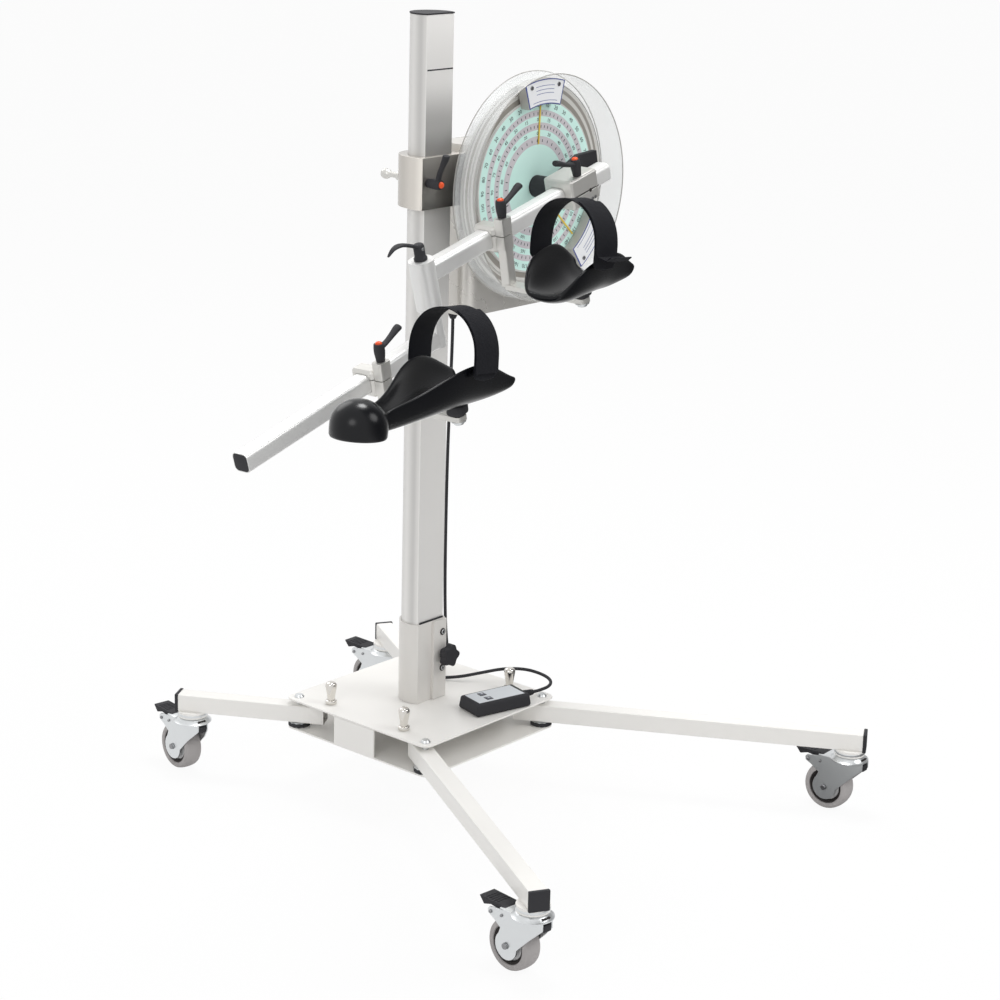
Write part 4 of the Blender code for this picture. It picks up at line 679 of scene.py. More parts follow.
def tube_faces(bm: BMesh, rings: list[list[BMVert]], closed: bool = True) -> None:
    """Joins rings of vertices with faces.

    Args:
        bm: the mesh that holds them.
        rings: the rings in order, each a closed loop.
        closed: whether the ends get faces too.
    """
    count = len(rings[0])
    for first, second in zip(rings, rings[1:]):
        for k in range(count):
            bm.faces.new((first[k], first[(k + 1) % count], second[(k + 1) % count], second[k]))
    if closed:
        bm.faces.new(rings[0])
        bm.faces.new(rings[-1])


def sweep(centres: list[Vector], radii: list[Pair], up: Vector, sides: int = 20) -> BMesh:
    """A closed tube through points, with an oval section that may change.

    Args:
        centres: the points in order.
        radii: the half width and half thickness at each point.
        up: the direction of the thickness.
        sides: how many points the section has.

    Returns:
        The swept mesh with closed ends.
    """
    bm = bmesh.new()
    rings = []
    last = len(centres) - 1
    for i, (centre, (width, thickness)) in enumerate(zip(centres, radii)):
        run = (centres[min(i + 1, last)] - centres[max(i - 1, 0)]).normalized()
        side = run.cross(up).normalized()
        rise = side.cross(run).normalized()
        ring = []
        for k in range(sides):
            angle = 2 * math.pi * k / sides
            offset = side * width * math.cos(angle) + rise * thickness * math.sin(angle)
            ring.append(bm.verts.new(centre + offset))
        rings.append(ring)
    tube_faces(bm, rings)
    return bm


def smooth_path(points: list[Point], steps: int) -> list[Vector]:
    """Points on a smooth curve through the given ones (Catmull-Rom).

    Args:
        points: the points in order.
        steps: how many steps lie between two of them.

    Returns:
        The finer points.
    """
    knots = [Vector(point) for point in points]
    path = []
    last = len(knots) - 1
    for i in range(last):
        before, start = knots[max(i - 1, 0)], knots[i]
        end, after = knots[i + 1], knots[min(i + 2, last)]
        for k in range(steps):
            t = k / steps
            bend = (2 * before - 5 * start + 4 * end - after) * t * t
            sway = (3 * start - before - 3 * end + after) * t ** 3
            path.append(0.5 * ((2 * start) + (end - before) * t + bend + sway))
    path.append(knots[-1].copy())
    return path


# Assemblies


class Assembly:
    """A sub-assembly of the machine."""

    def build(self) -> None:
        """Builds and dresses all its pieces."""
        raise NotImplementedError


@dataclass
class Stand(Assembly):
    """The plates, the four legs and what fixes them."""

    cap_side: float = 0.0318
    cap_thickness: float = 0.0060
    cap_overhang: float = 0.0005
    cap_edge: float = 0.0014
    leg_middle_z: float = 0.127
    washer_radius: float = 0.0182
    washer_thickness: float = 0.0078
    washer_z: float = 0.1077

    def build(self) -> None:
        """Dresses the plates, legs, bolts and index plungers."""
        carry("bottom_plate", PAINT, "base", 0.0008)
        carry("top_plate", PAINT, "base", 0.0008)
        for corner in Corner:
            self.leg(corner)
            self.bolt(corner)
            self.index_plunger(corner)

    def leg(self, corner: Corner) -> None:
        """A leg with its black end cap."""
        body = "leg_" + corner.label
        carry(body, PAINT, body, 0.0005)
        cap_x = corner.leg_length - self.cap_thickness / 2 + self.cap_overhang
        cap = rounded_box((self.cap_thickness, self.cap_side, self.cap_side), (cap_x, 0, self.leg_middle_z),
                          self.cap_edge, 3)
        new_piece("leg_cap_" + corner.label, cap, BLACK, body, place=corner.pivot())

    def bolt(self, corner: Corner) -> None:
        """The pivot bolt's dressed form and the black washers round it."""
        carry("pivot_bolt_" + corner.label, ZINC, "base", 0.0004)
        place = shift(*corner.spot, self.washer_z)
        washer = disc(self.washer_radius, self.washer_thickness, place, 40, 0.001)
        new_piece("pivot_washer_" + corner.label, washer, BLACK, "base")

    def index_plunger(self, corner: Corner) -> None:
        """A turned, polished knob over a plain collar."""
        node = "index_plunger_" + corner.label
        low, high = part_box(node)
        tip = low.z - TOP_PLATE_Z
        place = shift((low.x + high.x) / 2, (low.y + high.y) / 2, TOP_PLATE_Z)
        profile = [(0, 0.0380), (0.0030, 0.0379), (0.0062, 0.0372), (0.0084, 0.0354), (0.0094, 0.0326),
                   (0.0093, 0.0290), (0.0084, 0.0236), (0.0072, 0.0168), (0.0064, 0.0108), (0.0060, 0.0077),
                   (0.0060, 0.0066), (0.0088, 0.0064), (0.0094, 0.0056), (0.0094, 0.0010), (0.0088, 0.0),
                   (0.0040, 0.0), (0.0040, tip + 0.0005), (0.0034, tip), (0, tip)]
        new_piece("index_plunger_knob_" + corner.label, lathe(profile, 40), POLISHED,
                  "index_pin_" + corner.label, (node,), 50, place)


@dataclass
class Castor(Assembly):
    """One castor, in the frame of its swivel.

    Args:
        corner: the corner that it stands at.
        trail: from the swivel's axis to the axle.
        axle_z: the height of the axle.
        half_width: half the width of the wheel.
        fork_side: from the middle to the outside of the fork.
        lobe_radius: the radius of the fork round the axle.
        sheet: the thickness of the fork's metal.
        crease: the place from which the sides bend inwards.
        bend: how far they bend for each step forward.
    """

    corner: Corner
    trail: float = 0.0345
    axle_z: float = 0.040
    half_width: float = 0.0155
    fork_side: float = 0.0195
    lobe_radius: float = 0.0215
    sheet: float = 0.0022
    crease: float = -0.010
    bend: float = 0.42

    def build(self) -> None:
        """Builds the fork with its small parts, the wheel and the pedal."""
        self.fork()
        self.spring()
        self.head()
        self.rivets()
        self.wheel()
        self.pedal()

    @property
    def axle(self) -> Matrix:
        """The axle's frame, with +Z along it."""
        return shift(self.trail, 0, self.axle_z) @ turn("X", 90)

    def add(self, name: str, bm: BMesh, finish: Finish, sharp: float = 35.0, body: str = "castor_",
            nodes: tuple[str, ...] = ()) -> bpy.types.Object:
        """Adds a piece of this castor.

        Args:
            name: the piece's name without the corner.
            bm: its mesh in the swivel's frame.
            finish: its material.
            sharp: edges over this many degrees stay sharp.
            body: its body's name without the corner.
            nodes: the CAD nodes that it stands for, without the corner.

        Returns:
            The piece.
        """
        label = self.corner.label
        return new_piece(name + label, bm, finish, body + label, tuple(node + label for node in nodes), sharp,
                         self.corner.swivel())

    def outline(self) -> list[Pair]:
        """The fork's side view: its front, the lobe round the axle and the brake's end."""
        lobe = []
        for i in range(17):
            angle = math.radians(180 + 225 * i / 16)
            x = self.trail + self.lobe_radius * math.cos(angle)
            lobe.append((x, self.axle_z + self.lobe_radius * math.sin(angle)))
        return [(-0.0305, 0.0945), (-0.0305, 0.0830)] + lobe + [
            (0.0465, 0.0640), (0.0600, 0.0732), (0.0715, 0.0790), (0.0725, 0.0850), (0.0690, 0.0890),
            (0.0520, 0.0915), (0.0250, 0.0950)]

    def fork(self) -> None:
        """Two pressed sides whose front parts bend inwards, the web between them and the axle."""
        bm = bmesh.new()
        for hand in (-1, 1):
            side = bmesh.new()
            side.faces.new([side.verts.new((x, 0.0, z)) for x, z in self.outline()])
            bmesh.ops.bisect_plane(side, geom=side.verts[:] + side.edges[:] + side.faces[:],
                                   plane_co=(self.crease, 0, 0), plane_no=(1, 0, 0))
            bmesh.ops.triangulate(side, faces=side.faces[:])
            for vert in side.verts:
                inwards = max(0.0, self.crease - vert.co.x) * self.bend
                vert.co.y = hand * (self.fork_side - self.sheet / 2 - inwards)
            bmesh.ops.recalc_face_normals(side, faces=side.faces)
            bmesh.ops.solidify(side, geom=side.faces[:], thickness=self.sheet)
            merge(bm, side)
        merge(bm, rounded_box((0.030, 2 * self.fork_side - 0.002, 0.0018), (0.0330, 0, 0.0938), 0.0006, 2))
        merge(bm, disc(0.0040, 2 * self.fork_side + 0.002, self.axle, 24))
        piece = self.add("fork_", bm, ZINC, 30, nodes=("castor_fork_",))
        ease_edges(piece, 0.0004, 2, 50)

    def spring(self) -> None:
        """The brake's bent wire spring."""
        wire = smooth_path([(0.0660, 0.004, 0.0745), (0.0600, 0.004, 0.0690), (0.0540, 0.004, 0.0675),
                            (0.0575, 0.004, 0.0640)], 5)
        spring = sweep(wire, [(0.0007, 0.0007)] * len(wire), Vector((0, 1, 0)), 8)
        self.add("castor_spring_", spring, SCREW_STEEL)

    def head(self) -> None:
        """The domed crown, its bearing with a slot whose shade is painted as a dark box, and the toe stop in
        front.
        """
        crown = lathe([(0.0080, 0.1032), (0.0200, 0.1030), (0.0235, 0.1020), (0.0262, 0.0990),
                       (0.0290, 0.0962), (0.0312, 0.0948), (0.0312, 0.0934), (0.0200, 0.0934),
                       (0.0080, 0.0934), (0.0080, 0.1032)], 56)
        self.add("castor_crown_", crown, ZINC, 40)
        race = lathe([(0.0060, 0.1118), (0.0222, 0.1118), (0.0240, 0.1110), (0.0252, 0.1085),
                      (0.0252, 0.1062), (0.0236, 0.1040), (0.0060, 0.1036), (0.0060, 0.1118)], 56)
        self.add("castor_race_", race, ZINC, 40, "leg_")
        # Painted shade: a dark box stands for the shade inside the crown's slot.
        slot = rounded_box((0.0040, 0.0150, 0.0022), (-0.0262, 0, 0.0985), 0.0006, 2)
        self.add("castor_slot_", slot, DARK_RUBBER_AND_SHADE)
        toe = rounded_box((0.007, 0.015, 0.011), (-0.0275, 0, 0.0850), 0.002, 2)
        self.add("castor_toe_stop_", toe, BLACK)

    def rivets(self) -> None:
        """Rivets and axle nuts on both sides of the fork."""
        parts = []
        for hand in (-1, 1):
            out = shift(0, hand * self.fork_side, 0) @ turn("X", -90 * hand)
            for x, z, radius in ((0.0665, 0.0820, 0.0028), (0.0440, 0.0835, 0.0024)):
                dome = [(0, 0.0016), (radius * 0.6, 0.0013), (radius, 0.0)]
                parts.append(lathe(dome, 20, shift(x, 0, z) @ out))
            parts.append(lathe([(0, 0.0030), (0.0036, 0.0030), (0.0046, 0.0022), (0.0050, 0.0)], 24,
                               shift(self.trail, 0, self.axle_z) @ out))
        self.add("castor_rivets_", join(parts), SCREW_STEEL)

    def wheel(self) -> None:
        """A tyre with a rounded tread, a dark inner ring and a dished hub."""
        half = self.half_width
        tread = []
        for i in range(13):
            angle = math.pi * i / 12
            tread.append((0.0335 + 0.0065 * abs(math.sin(angle)) ** 0.55, half * math.cos(angle)))
        profile = [(0.0290, half - 0.0028), (0.0300, half - 0.0008)] + tread + [
            (0.0300, 0.0008 - half), (0.0290, 0.0028 - half), (0.0290, half - 0.0028)]
        self.add("tyre_", lathe(profile, 72, self.axle), TYRE, 50, "wheel_", ("wheel_",))
        dark = [(0.0292, half - 0.0022), (0.0270, half - 0.0030), (0.0244, half - 0.0050),
                (0.0240, half - 0.0075)]
        dish = [(0.0242, half - 0.0072), (0.0225, half - 0.0058), (0.0180, half - 0.0064),
                (0.0110, half - 0.0040), (0.0085, half - 0.0008), (0.0044, half - 0.0006),
                (0.0044, half - 0.0100)]
        for name, profile, finish in (("tyre_inner_ring_", dark, DARK_RUBBER_AND_SHADE),
                                      ("wheel_hub_", dish, HUB_PLASTIC)):
            sides = [lathe(profile, 60, self.axle @ turn("X", degrees)) for degrees in (180, 0)]
            self.add(name, join(sides), finish, 60, "wheel_")

    def pedal(self) -> None:
        """The brake pedal with grip ribs across its tread."""
        label = self.corner.label
        carry("brake_pedal_" + label, BLACK, "pedal_" + label, 0.0012, 3)
        ribs = join([rounded_box((0.0014, 0.024, 0.0014), (0.026 + 0.0055 * i, 0, 0.0071), 0.0005, 2)
                     for i in range(5)])
        ribs.transform(shift(self.trail, 0, 0.089) @ turn("Y", -1))
        self.add("pedal_ribs_", ribs, BLACK, body="pedal_")


@dataclass
class Column(Assembly):
    """The column with its cap, sleeve and clamp knob."""

    middle_x: float = 0.0005
    line_z: float = 1.195
    bar_face_y: float = -0.0259
    screw_x: float = 0.0215
    screw_heights: Pair = (0.269, 0.206)
    liner_z: float = 0.2920

    def build(self) -> None:
        """Dresses the column and adds the line across its flat, the liner and the screws."""
        carry("column", COLUMN_METAL_PAINTED_SHADE, "base", 0.0005)
        carry("column_cap", BLACK, "base", 0.0005)
        carry("column_sleeve", SLEEVE_PAINT, "base", 0.0007)
        carry("sleeve_knob", BLACK, "sleeve_knob", 0.0016, 3)
        line = rounded_box((0.0585, 0.0006, 0.0022), (self.middle_x, COLUMN_FLAT_Y + 0.0001, self.line_z),
                           0.0002, 1)
        new_piece("column_joint_line", line, BLACK, "base")
        places = [shift(self.screw_x, self.bar_face_y, z) @ turn("X", 90) for z in self.screw_heights]
        rims = join([disc(0.0058, 0.0016, place @ shift(0, 0, 0.0006), 28) for place in places])
        new_piece("sleeve_screw_rims", rims, DARK_RUBBER_AND_SHADE, "base")
        heads = join([socket_screw(0.0040, 0.0026, place) for place in places])
        new_piece("sleeve_screws", heads, ZINC, "base")
        liner = rounded_box((0.0560, 0.0022, 0.0034), (self.middle_x, COLUMN_FLAT_Y - 0.0014, self.liner_z),
                            0.0006, 2)
        new_piece("sleeve_liner", liner, BLACK, "base")


@dataclass
class ClampLever(Assembly):
    """A hand lever on a clamp screw: a tapered hub, a rising arm and an orange button.

    Args:
        node: the CAD node, also the name of its body.
        place: the frame on the clamp's face.
        arm_turn: the direction of the arm in degrees.
        height: the height of the hub.
        root: half the arm's width at the hub.
    """

    node: str
    place: Matrix
    arm_turn: float = 0.0
    height: float = 0.028
    root: float = 0.0062

    def build(self) -> None:
        """Builds the hub, the arm and the button."""
        height = self.height
        hub = lathe([(0, 0), (0.0062, 0), (0.0068, 0.0008), (0.0072, 0.005), (0.0082, 0.012), (0.0085, 0.016),
                     (0.0083, 0.022), (0.0077, 0.0266), (0.0072, height - 0.0003), (0.0064, height),
                     (0.0056, height - 0.0006), (0, height - 0.0006)], 40)
        merge(hub, self.arm())
        new_piece(self.node + "_grip", hub, BLACK, self.node, (self.node,), 50, self.place)
        button = lathe([(0, height + 0.0030), (0.0028, height + 0.0028), (0.0046, height + 0.0018),
                        (0.0052, height + 0.0004), (0.0052, height - 0.0010), (0, height - 0.0010)], 32)
        new_piece(self.node + "_button", button, ORANGE, self.node, sharp=50, place=self.place)

    def arm(self) -> BMesh:
        """The rising arm with its waist and its rounded tip."""
        path = smooth_path([(0.0, 0, 0.0203), (0.010, 0, 0.0222), (0.020, 0, 0.0256), (0.031, 0, 0.0308),
                            (0.041, 0, 0.0358), (0.0478, 0, 0.0384)], 5)
        radii = []
        tip = 0.93
        for i in range(len(path)):
            share = i / (len(path) - 1)
            width = self.root - 0.0014 * math.sin(math.pi * min(share * 1.25, 1.0)) + 0.0008 * share
            if share > tip:
                width *= math.sqrt(max(0.05, 1 - ((share - tip) / 0.075) ** 2))
            radii.append((width, width * 0.72))
        arm = sweep(path, radii, Vector((0, 0, 1)))
        arm.transform(turn("Z", self.arm_turn))
        return arm


@dataclass
class Carriage(Assembly):
    """The block that slides on the column, its lever and its rear plunger."""

    lever: Point = (-0.037, -0.0303, 1.023)
    plunger: Point = (0, 0.0503, 1.019)
    bridge_x: float = 0.055
    bridge_y: float = -0.0290
    bridge_heights: Point = (0.995, 1.021, 1.047)

    def build(self) -> None:
        """Dresses the block and builds its lever, its plunger's pull and the bridge's screws."""
        carry("carriage", CARRIAGE_METAL_PAINTED_SHADE, "carriage", 0.0010, 3)
        ClampLever("carriage_lever", shift(*self.lever) @ turn("X", 90), 90).build()
        profile = [(0, 0.0520), (0.0045, 0.0517), (0.0074, 0.0500), (0.0085, 0.0465), (0.0084, 0.0425),
                   (0.0070, 0.0385), (0.0052, 0.0360), (0.0046, 0.0330), (0.0046, 0.0200), (0.0070, 0.0190),
                   (0.0075, 0.0180), (0.0075, 0.0010), (0.0070, 0.0), (0.0040, 0.0), (0.0040, -0.0142),
                   (0, -0.0142)]
        new_piece("carriage_plunger_pull", lathe(profile, 36), CLAMP_METAL, "carriage_plunger",
                  ("carriage_plunger",), 50, shift(*self.plunger) @ turn("X", -90))
        screws = [socket_screw(0.0034, 0.0024, shift(self.bridge_x, self.bridge_y, z) @ turn("X", 90))
                  for z in self.bridge_heights]
        new_piece("bridge_screws", join(screws), SCREW_STEEL, "carriage")


@dataclass
class Housing(Assembly):
    """The drive housing with its cover, its mains inlet and the drive inside."""

    back_y: float = 0.0493
    screw_columns: Pair = (0.076, 0.271)
    screw_rows: Point = (0.809, 0.933, 1.058)
    inlet_x: float = 0.230
    inlet_z: float = 0.830
    vent_x: float = 0.100
    vent_z: float = 0.845
    vent_pitch: float = 0.008
    vent_count: int = 9

    def build(self) -> None:
        """Dresses the housing and adds the small parts of its back."""
        carry("housing", HOUSING_METAL, "carriage", 0.0015, 3)
        carry("housing_back_cover", HOUSING_METAL, "carriage", 0.0006)
        carry("gear_motor", MOTOR_STEEL, "carriage", 0.0008)
        carry("control_board", BOARD_GREEN, "carriage", 0.0001, 1)
        carry("cord_gland", BLACK, "carriage", 0.0004)
        screws = [socket_screw(0.0032, 0.0018, shift(x, self.back_y, z) @ turn("X", -90))
                  for x in self.screw_columns for z in self.screw_rows]
        new_piece("cover_screws", join(screws), SCREW_STEEL, "carriage")
        self.inlet()
        # Painted shade: the vents are thin dark boxes on the cover that stand for the shade inside the slots.
        vents = []
        for i in range(self.vent_count):
            middle = (self.vent_x + self.vent_pitch * i, self.back_y + 0.0001, self.vent_z)
            vents.append(rounded_box((0.0022, 0.0006, 0.034), middle, 0.00025, 1))
        new_piece("cover_vents", join(vents), DARK_RUBBER_AND_SHADE, "carriage")

    def inlet(self) -> None:
        """A shrouded three-pin mains inlet in the cover's recess."""
        place = shift(self.inlet_x, self.back_y - 0.0015, self.inlet_z)
        shell = rounded_box((0.0276, 0.0014, 0.0196), (0, 0.0007, 0), 0.0005, 2)
        new_piece("mains_inlet", shell, BLACK, "carriage", place=place)
        pins = [rounded_box((0.002, 0.0012, 0.004), (x, 0.0016, z), 0.0003, 2)
                for x, z in ((-0.007, -0.002), (0.007, -0.002), (0.0, 0.004))]
        new_piece("mains_inlet_pins", join(pins), BRASS, "carriage", place=place)


@dataclass
class Dial(Assembly):
    """The clear pan, the printed scale with its numbers, and the two stop blocks.

    Args:
        pan_radius: the pan's outer radius.
        pan_front: the height of its lip in the dial's frame.
        pan_back: the height of its floor.
        pan_hole: the radius of the hole for the shaft.
        wall: the pan's thickness.
        face: the height of the printed face.
        print_lift: how far print stands on the face.
        number_rings: the radius, the step in degrees and the size of each ring of numbers.
        tick_rings: the radius and the step in degrees of each ring of ticks.
        tick_size: the length, width and thickness of a tick.
        stops: the angle of each stop block.
        stop_height: the height of a stop block over the face.
    """

    pan_radius: float = 0.1845
    pan_front: float = 0.096
    pan_back: float = 0.047
    pan_hole: float = 0.0118
    wall: float = 0.0026
    face: float = 0.0623
    print_lift: float = 0.0001
    number_rings: tuple[tuple[float, int, float], ...] = ((0.1300, 10, 0.0094), (0.1070, 15, 0.0084),
                                                          (0.0850, 20, 0.0078))
    tick_rings: tuple[tuple[float, int], ...] = ((0.1170, 5), (0.0960, 5), (0.0735, 10))
    tick_size: Point = (0.0045, 0.0014, 0.00012)
    stops: tuple[tuple[str, float], ...] = (("top", 92.0), ("low", -39.0))
    stop_height: float = 0.018

    def build(self) -> None:
        """Builds the pan, dresses the dial and prints its numbers."""
        self.pan()
        carry("scale_dial", DIAL_PRINT_AND_SHADE, "carriage", 0.0005)
        self.numbers()
        ticks = [box(self.tick_size, turn("Z", angle) @ shift(radius, 0, self.face + self.print_lift))
                 for radius, step in self.tick_rings for angle in range(0, 360, step)]
        new_piece("dial_ticks", join(ticks), PRINT_INK, "carriage", place=DIAL, clean=False)
        for label, angle in self.stops:
            self.stop(label, angle)

    def pan(self) -> None:
        """A thin dish with a rolled lip and a rounded foot, and grey lines that paint the reflections along
        its edges.
        """
        outer, wall, hole = self.pan_radius, self.wall, self.pan_hole
        front, back = self.pan_front, self.pan_back
        profile = [(hole, back), (outer - 0.005, back), (outer - 0.0015, back + 0.0015),
                   (outer, back + 0.005), (outer, front - 0.0012), (outer - 0.0012, front),
                   (outer - wall + 0.0004, front), (outer - wall, front - 0.0010),
                   (outer - wall, back + 0.006), (outer - 0.0045, back + wall), (hole, back + wall),
                   (hole, back)]
        new_piece("pan_shell", lathe(profile, 128), CLEAR, "carriage", ("clear_pan",), 40, DIAL)
        # Painted reflection: grey rings along the lip, the foot and an inner edge stand for the light on the
        # clear plastic's edges.
        lines = []
        steps = 128
        for radius, height in ((outer - 0.0013, front), (outer - 0.0006, back + 0.0022),
                               (0.1705, self.face - 0.005)):
            angles = [2 * math.pi * i / steps for i in range(steps + 1)]
            ring = [Vector((radius * math.cos(angle), radius * math.sin(angle), height)) for angle in angles]
            lines.append(sweep(ring, [(0.0009, 0.0009)] * len(ring), Vector((0, 0, 1)), 8))
        new_piece("pan_edges", join(lines), CLEAR_EDGE_REFLECTION, "carriage", sharp=60, place=DIAL)

    def numbers(self) -> None:
        """Plain numbers round three rings, as thin raised print."""
        bm = bmesh.new()
        drafts: dict[str, bpy.types.Mesh] = {}
        for radius, step, size in self.number_rings:
            for angle in range(0, 360, step):
                value = str(min(angle, 360 - angle))
                if value not in drafts:
                    drafts[value] = self.text_mesh(value)
                place = turn("Z", 90 - angle) @ shift(radius, 0, self.face + self.print_lift) @ turn("Z", -90)
                part = bmesh.new()
                part.from_mesh(drafts[value])
                part.transform(place @ Matrix.Diagonal((size, size, 1.0, 1.0)))
                merge(bm, part)
        new_piece("dial_numbers", bm, PRINT_INK, "carriage", place=DIAL, clean=False)

    def text_mesh(self, value: str) -> bpy.types.Mesh:
        """Makes a number as a raised mesh one unit high.

        Args:
            value: the number.

        Returns:
            The mesh, centred on the origin.
        """
        curve = bpy.data.curves.new("number_draft", "FONT")
        curve.body = value
        curve.align_x = "CENTER"
        curve.align_y = "CENTER"
        curve.resolution_u = 2
        draft = bpy.data.objects.new("number_draft", curve)
        bpy.context.scene.collection.objects.link(draft)
        graph = bpy.context.evaluated_depsgraph_get()
        mesh = bpy.data.meshes.new_from_object(draft.evaluated_get(graph))
        bpy.data.objects.remove(draft, do_unlink=True)
        bm = bmesh.new()
        bm.from_mesh(mesh)
        bmesh.ops.remove_doubles(bm, verts=bm.verts, dist=0.0001)
        top = bmesh.ops.extrude_face_region(bm, geom=bm.faces[:])
        raised = [item for item in top["geom"] if isinstance(item, BMVert)]
        bmesh.ops.translate(bm, verts=raised, vec=(0, 0, self.print_lift))
        bm.to_mesh(mesh)
        bm.free()
        return mesh

    def stop(self, label: str, angle: float) -> None:
        """A stop block with its bordered label, its clamp screws and its pointer.

        Args:
            label: the block's name.
            angle: its place round the dial in degrees.
        """
        body = "stop_" + label
        carry("stop_block_" + label, STOP_GREY, body, 0.0010, 3)
        place = DIAL @ turn("Z", angle)
        front = self.face + GAP + self.stop_height
        rules = [self.fan(radius, radius + 0.0008, half_angle, front + 0.0002)
                 for radius, half_angle in ((0.1400, 12.0), (0.1640, 8.0), (0.1580, 8.0), (0.1520, 8.0))]
        screws = [socket_screw(0.0034, 0.0016, turn("Z", side) @ shift(0.1665, 0, front + 0.0004))
                  for side in (-11.5, 11.5)]
        pointer = rounded_box((0.064, 0.0028, 0.0012), (0.0995, 0, self.face + 0.0012), 0.0004, 2)
        pointer.transform(turn("Z", -4.0))
        for name, mesh, finish in (
                ("stop_border_", self.fan(0.1345, 0.1748, 16.2, front, 0.0004), LABEL_BLUE),
                ("stop_label_", self.fan(0.1362, 0.1732, 15.4, front + 0.0001), LABEL_WHITE),
                ("stop_rules_", join(rules), LABEL_BLUE), ("stop_screws_", join(screws), SCREW_STEEL),
                ("stop_pointer_", pointer, POINTER_YELLOW)):
            new_piece(name + label, mesh, finish, body, place=place)

    @staticmethod
    def fan(inner: float, outer: float, half_angle: float, low: float,
            thickness: float = 0.0005) -> BMesh:
        """A flat sector of a ring round +X.

        Args:
            inner: its inner radius.
            outer: its outer radius.
            half_angle: half its angle in degrees.
            low: the height of its underside.
            thickness: its thickness.

        Returns:
            The closed sector.
        """
        bm = bmesh.new()
        steps = 16
        rings = []
        for i in range(steps + 1):
            angle = math.radians(half_angle) * (2 * i / steps - 1)
            corners = ((inner, low), (outer, low), (outer, low + thickness), (inner, low + thickness))
            rings.append([bm.verts.new((radius * math.cos(angle), radius * math.sin(angle), z))
                          for radius, z in corners])
        tube_faces(bm, rings)
        return bm


@dataclass
class Arm(Assembly):
    """The drive hub, the main clamp, the two tubes, the elbow and the pad clamps.

    Args:
        tube: the side of the square tubes.
        lower_end: the place of the lower tube's open end.
        upper_end: the place of the upper tube's open end.
        clamp_face: the near face of the main clamp.
        cam_seat: the height of the elbow's handle over the tube's line.
    """

    tube: float = 0.030
    lower_end: float = -0.432
    upper_end: float = 0.091
    clamp_face: float = -0.0320
    cam_seat: float = 0.024

    def build(self) -> None:
        """Dresses the tubes and clamps and builds their levers and caps."""
        carry("drive_shaft", BLACK, "drive", 0.0012, 3)
        carry("main_clamp", CLAMP_METAL, "drive", 0.0014, 3)
        carry("upper_tube", TUBE_METAL, "upper_tube", 0.0005)
        carry("lower_tube", TUBE_METAL, "lower_tube", 0.0005)
        carry("upper_pad_clamp", CLAMP_METAL, "upper_clamp", 0.0012, 3)
        carry("forearm_pad_clamp", CLAMP_METAL, "forearm_clamp", 0.0012, 3)
        ClampLever("main_lever", ARM @ shift(0.001, -0.023, 0.029 + GAP) @ turn("Z", 180)).build()
        for node, post in (("upper_pad_lever", UPPER_POST), ("forearm_pad_lever", FOREARM_POST)):
            ClampLever(node, post @ shift(0, -0.003, LEVER_SEAT + GAP)).build()
        self.cap("lower_tube", LOWER_LINE, self.lower_end, -1)
        self.cap("upper_tube", ARM, self.upper_end, 1)
        self.clamp_details()
        self.elbow_lever()

    def cap(self, body: str, place: Matrix, end: float, hand: int) -> None:
        """The black plug in the open end of a tube.

        Args:
            body: the tube's node and body.
            place: the tube's frame.
            end: the place of the open end.
            hand: 1 where that end is on the +X side, or else -1.
        """
        side = self.tube - 0.0024
        bm = box((0.0050, side, side), shift(end - hand * 0.0018, 0, 0))
        along = [edge for edge in bm.edges if abs((edge.verts[1].co - edge.verts[0].co).x) > 0.004]
        bmesh.ops.bevel(bm, geom=along, offset=0.0068, segments=6, profile=0.5, affect="EDGES", material=-1)
        bmesh.ops.bevel(bm, geom=[edge for edge in bm.edges if edge.calc_face_angle(0) > 1.2],
                        offset=0.0012, segments=3, profile=0.5, affect="EDGES", material=-1)
        new_piece(body + "_cap", bm, BLACK, body, place=place)

    def clamp_details(self) -> None:
        """The main clamp's split and the hole on it as dark pieces of painted shade, and two small screws
        under it.
        """
        face = self.clamp_face
        # Painted shade: a thin dark strip and a dark disc stand for the shade in the clamp's split and in its
        # hole.
        split = rounded_box((0.0662, 0.0008, 0.0014), (0.0070, face, 0), 0.0003, 1)
        merge(split, disc(0.0030, 0.0010, shift(0.0180, face - 0.0001, -0.0005) @ turn("X", 90), 24))
        new_piece("main_clamp_split", split, DARK_RUBBER_AND_SHADE, "drive", place=ARM)
        screws = [socket_screw(0.0026, 0.0012, shift(x, face, -0.0150) @ turn("X", 90))
                  for x in (0.0200, 0.0270)]
        new_piece("main_clamp_screws", join(screws), SCREW_STEEL, "drive", place=ARM)

    def elbow_lever(self) -> None:
        """The cam body with its pin and the flat curved handle."""
        place = ARM @ shift(ELBOW_X, 0, self.cam_seat + GAP) @ turn("Z", 180)
        body = lathe([(0, 0), (0.0098, 0), (0.0105, 0.0006), (0.0105, 0.0036), (0.0096, 0.0048),
                      (0.0086, 0.0060), (0.0086, 0.0210), (0.0078, 0.0245), (0.0060, 0.0258),
                      (0, 0.0260)], 36)
        path = smooth_path([(0.0, 0, 0.0195), (0.016, 0, 0.0290), (0.036, 0, 0.0378), (0.052, 0, 0.0380),
                            (0.0655, 0, 0.0310)], 6)
        radii = []
        for i in range(len(path)):
            share = i / (len(path) - 1)
            taper = max(0.0, share - 0.6) / 0.4
            width = 0.0056 + 0.0012 * math.sin(math.pi * share) - 0.0036 * taper
            radii.append((width, 0.0030 - 0.0022 * taper))
        merge(body, sweep(path, radii, Vector((0, 0, 1))))
        new_piece("elbow_cam", body, BLACK, "elbow_lever", ("elbow_lever",), 50, place)
        pin = disc(0.0026, 0.0182, shift(0, 0, 0.0185) @ turn("X", 90), 20)
        new_piece("elbow_cam_pin", pin, ZINC, "elbow_lever", place=place)


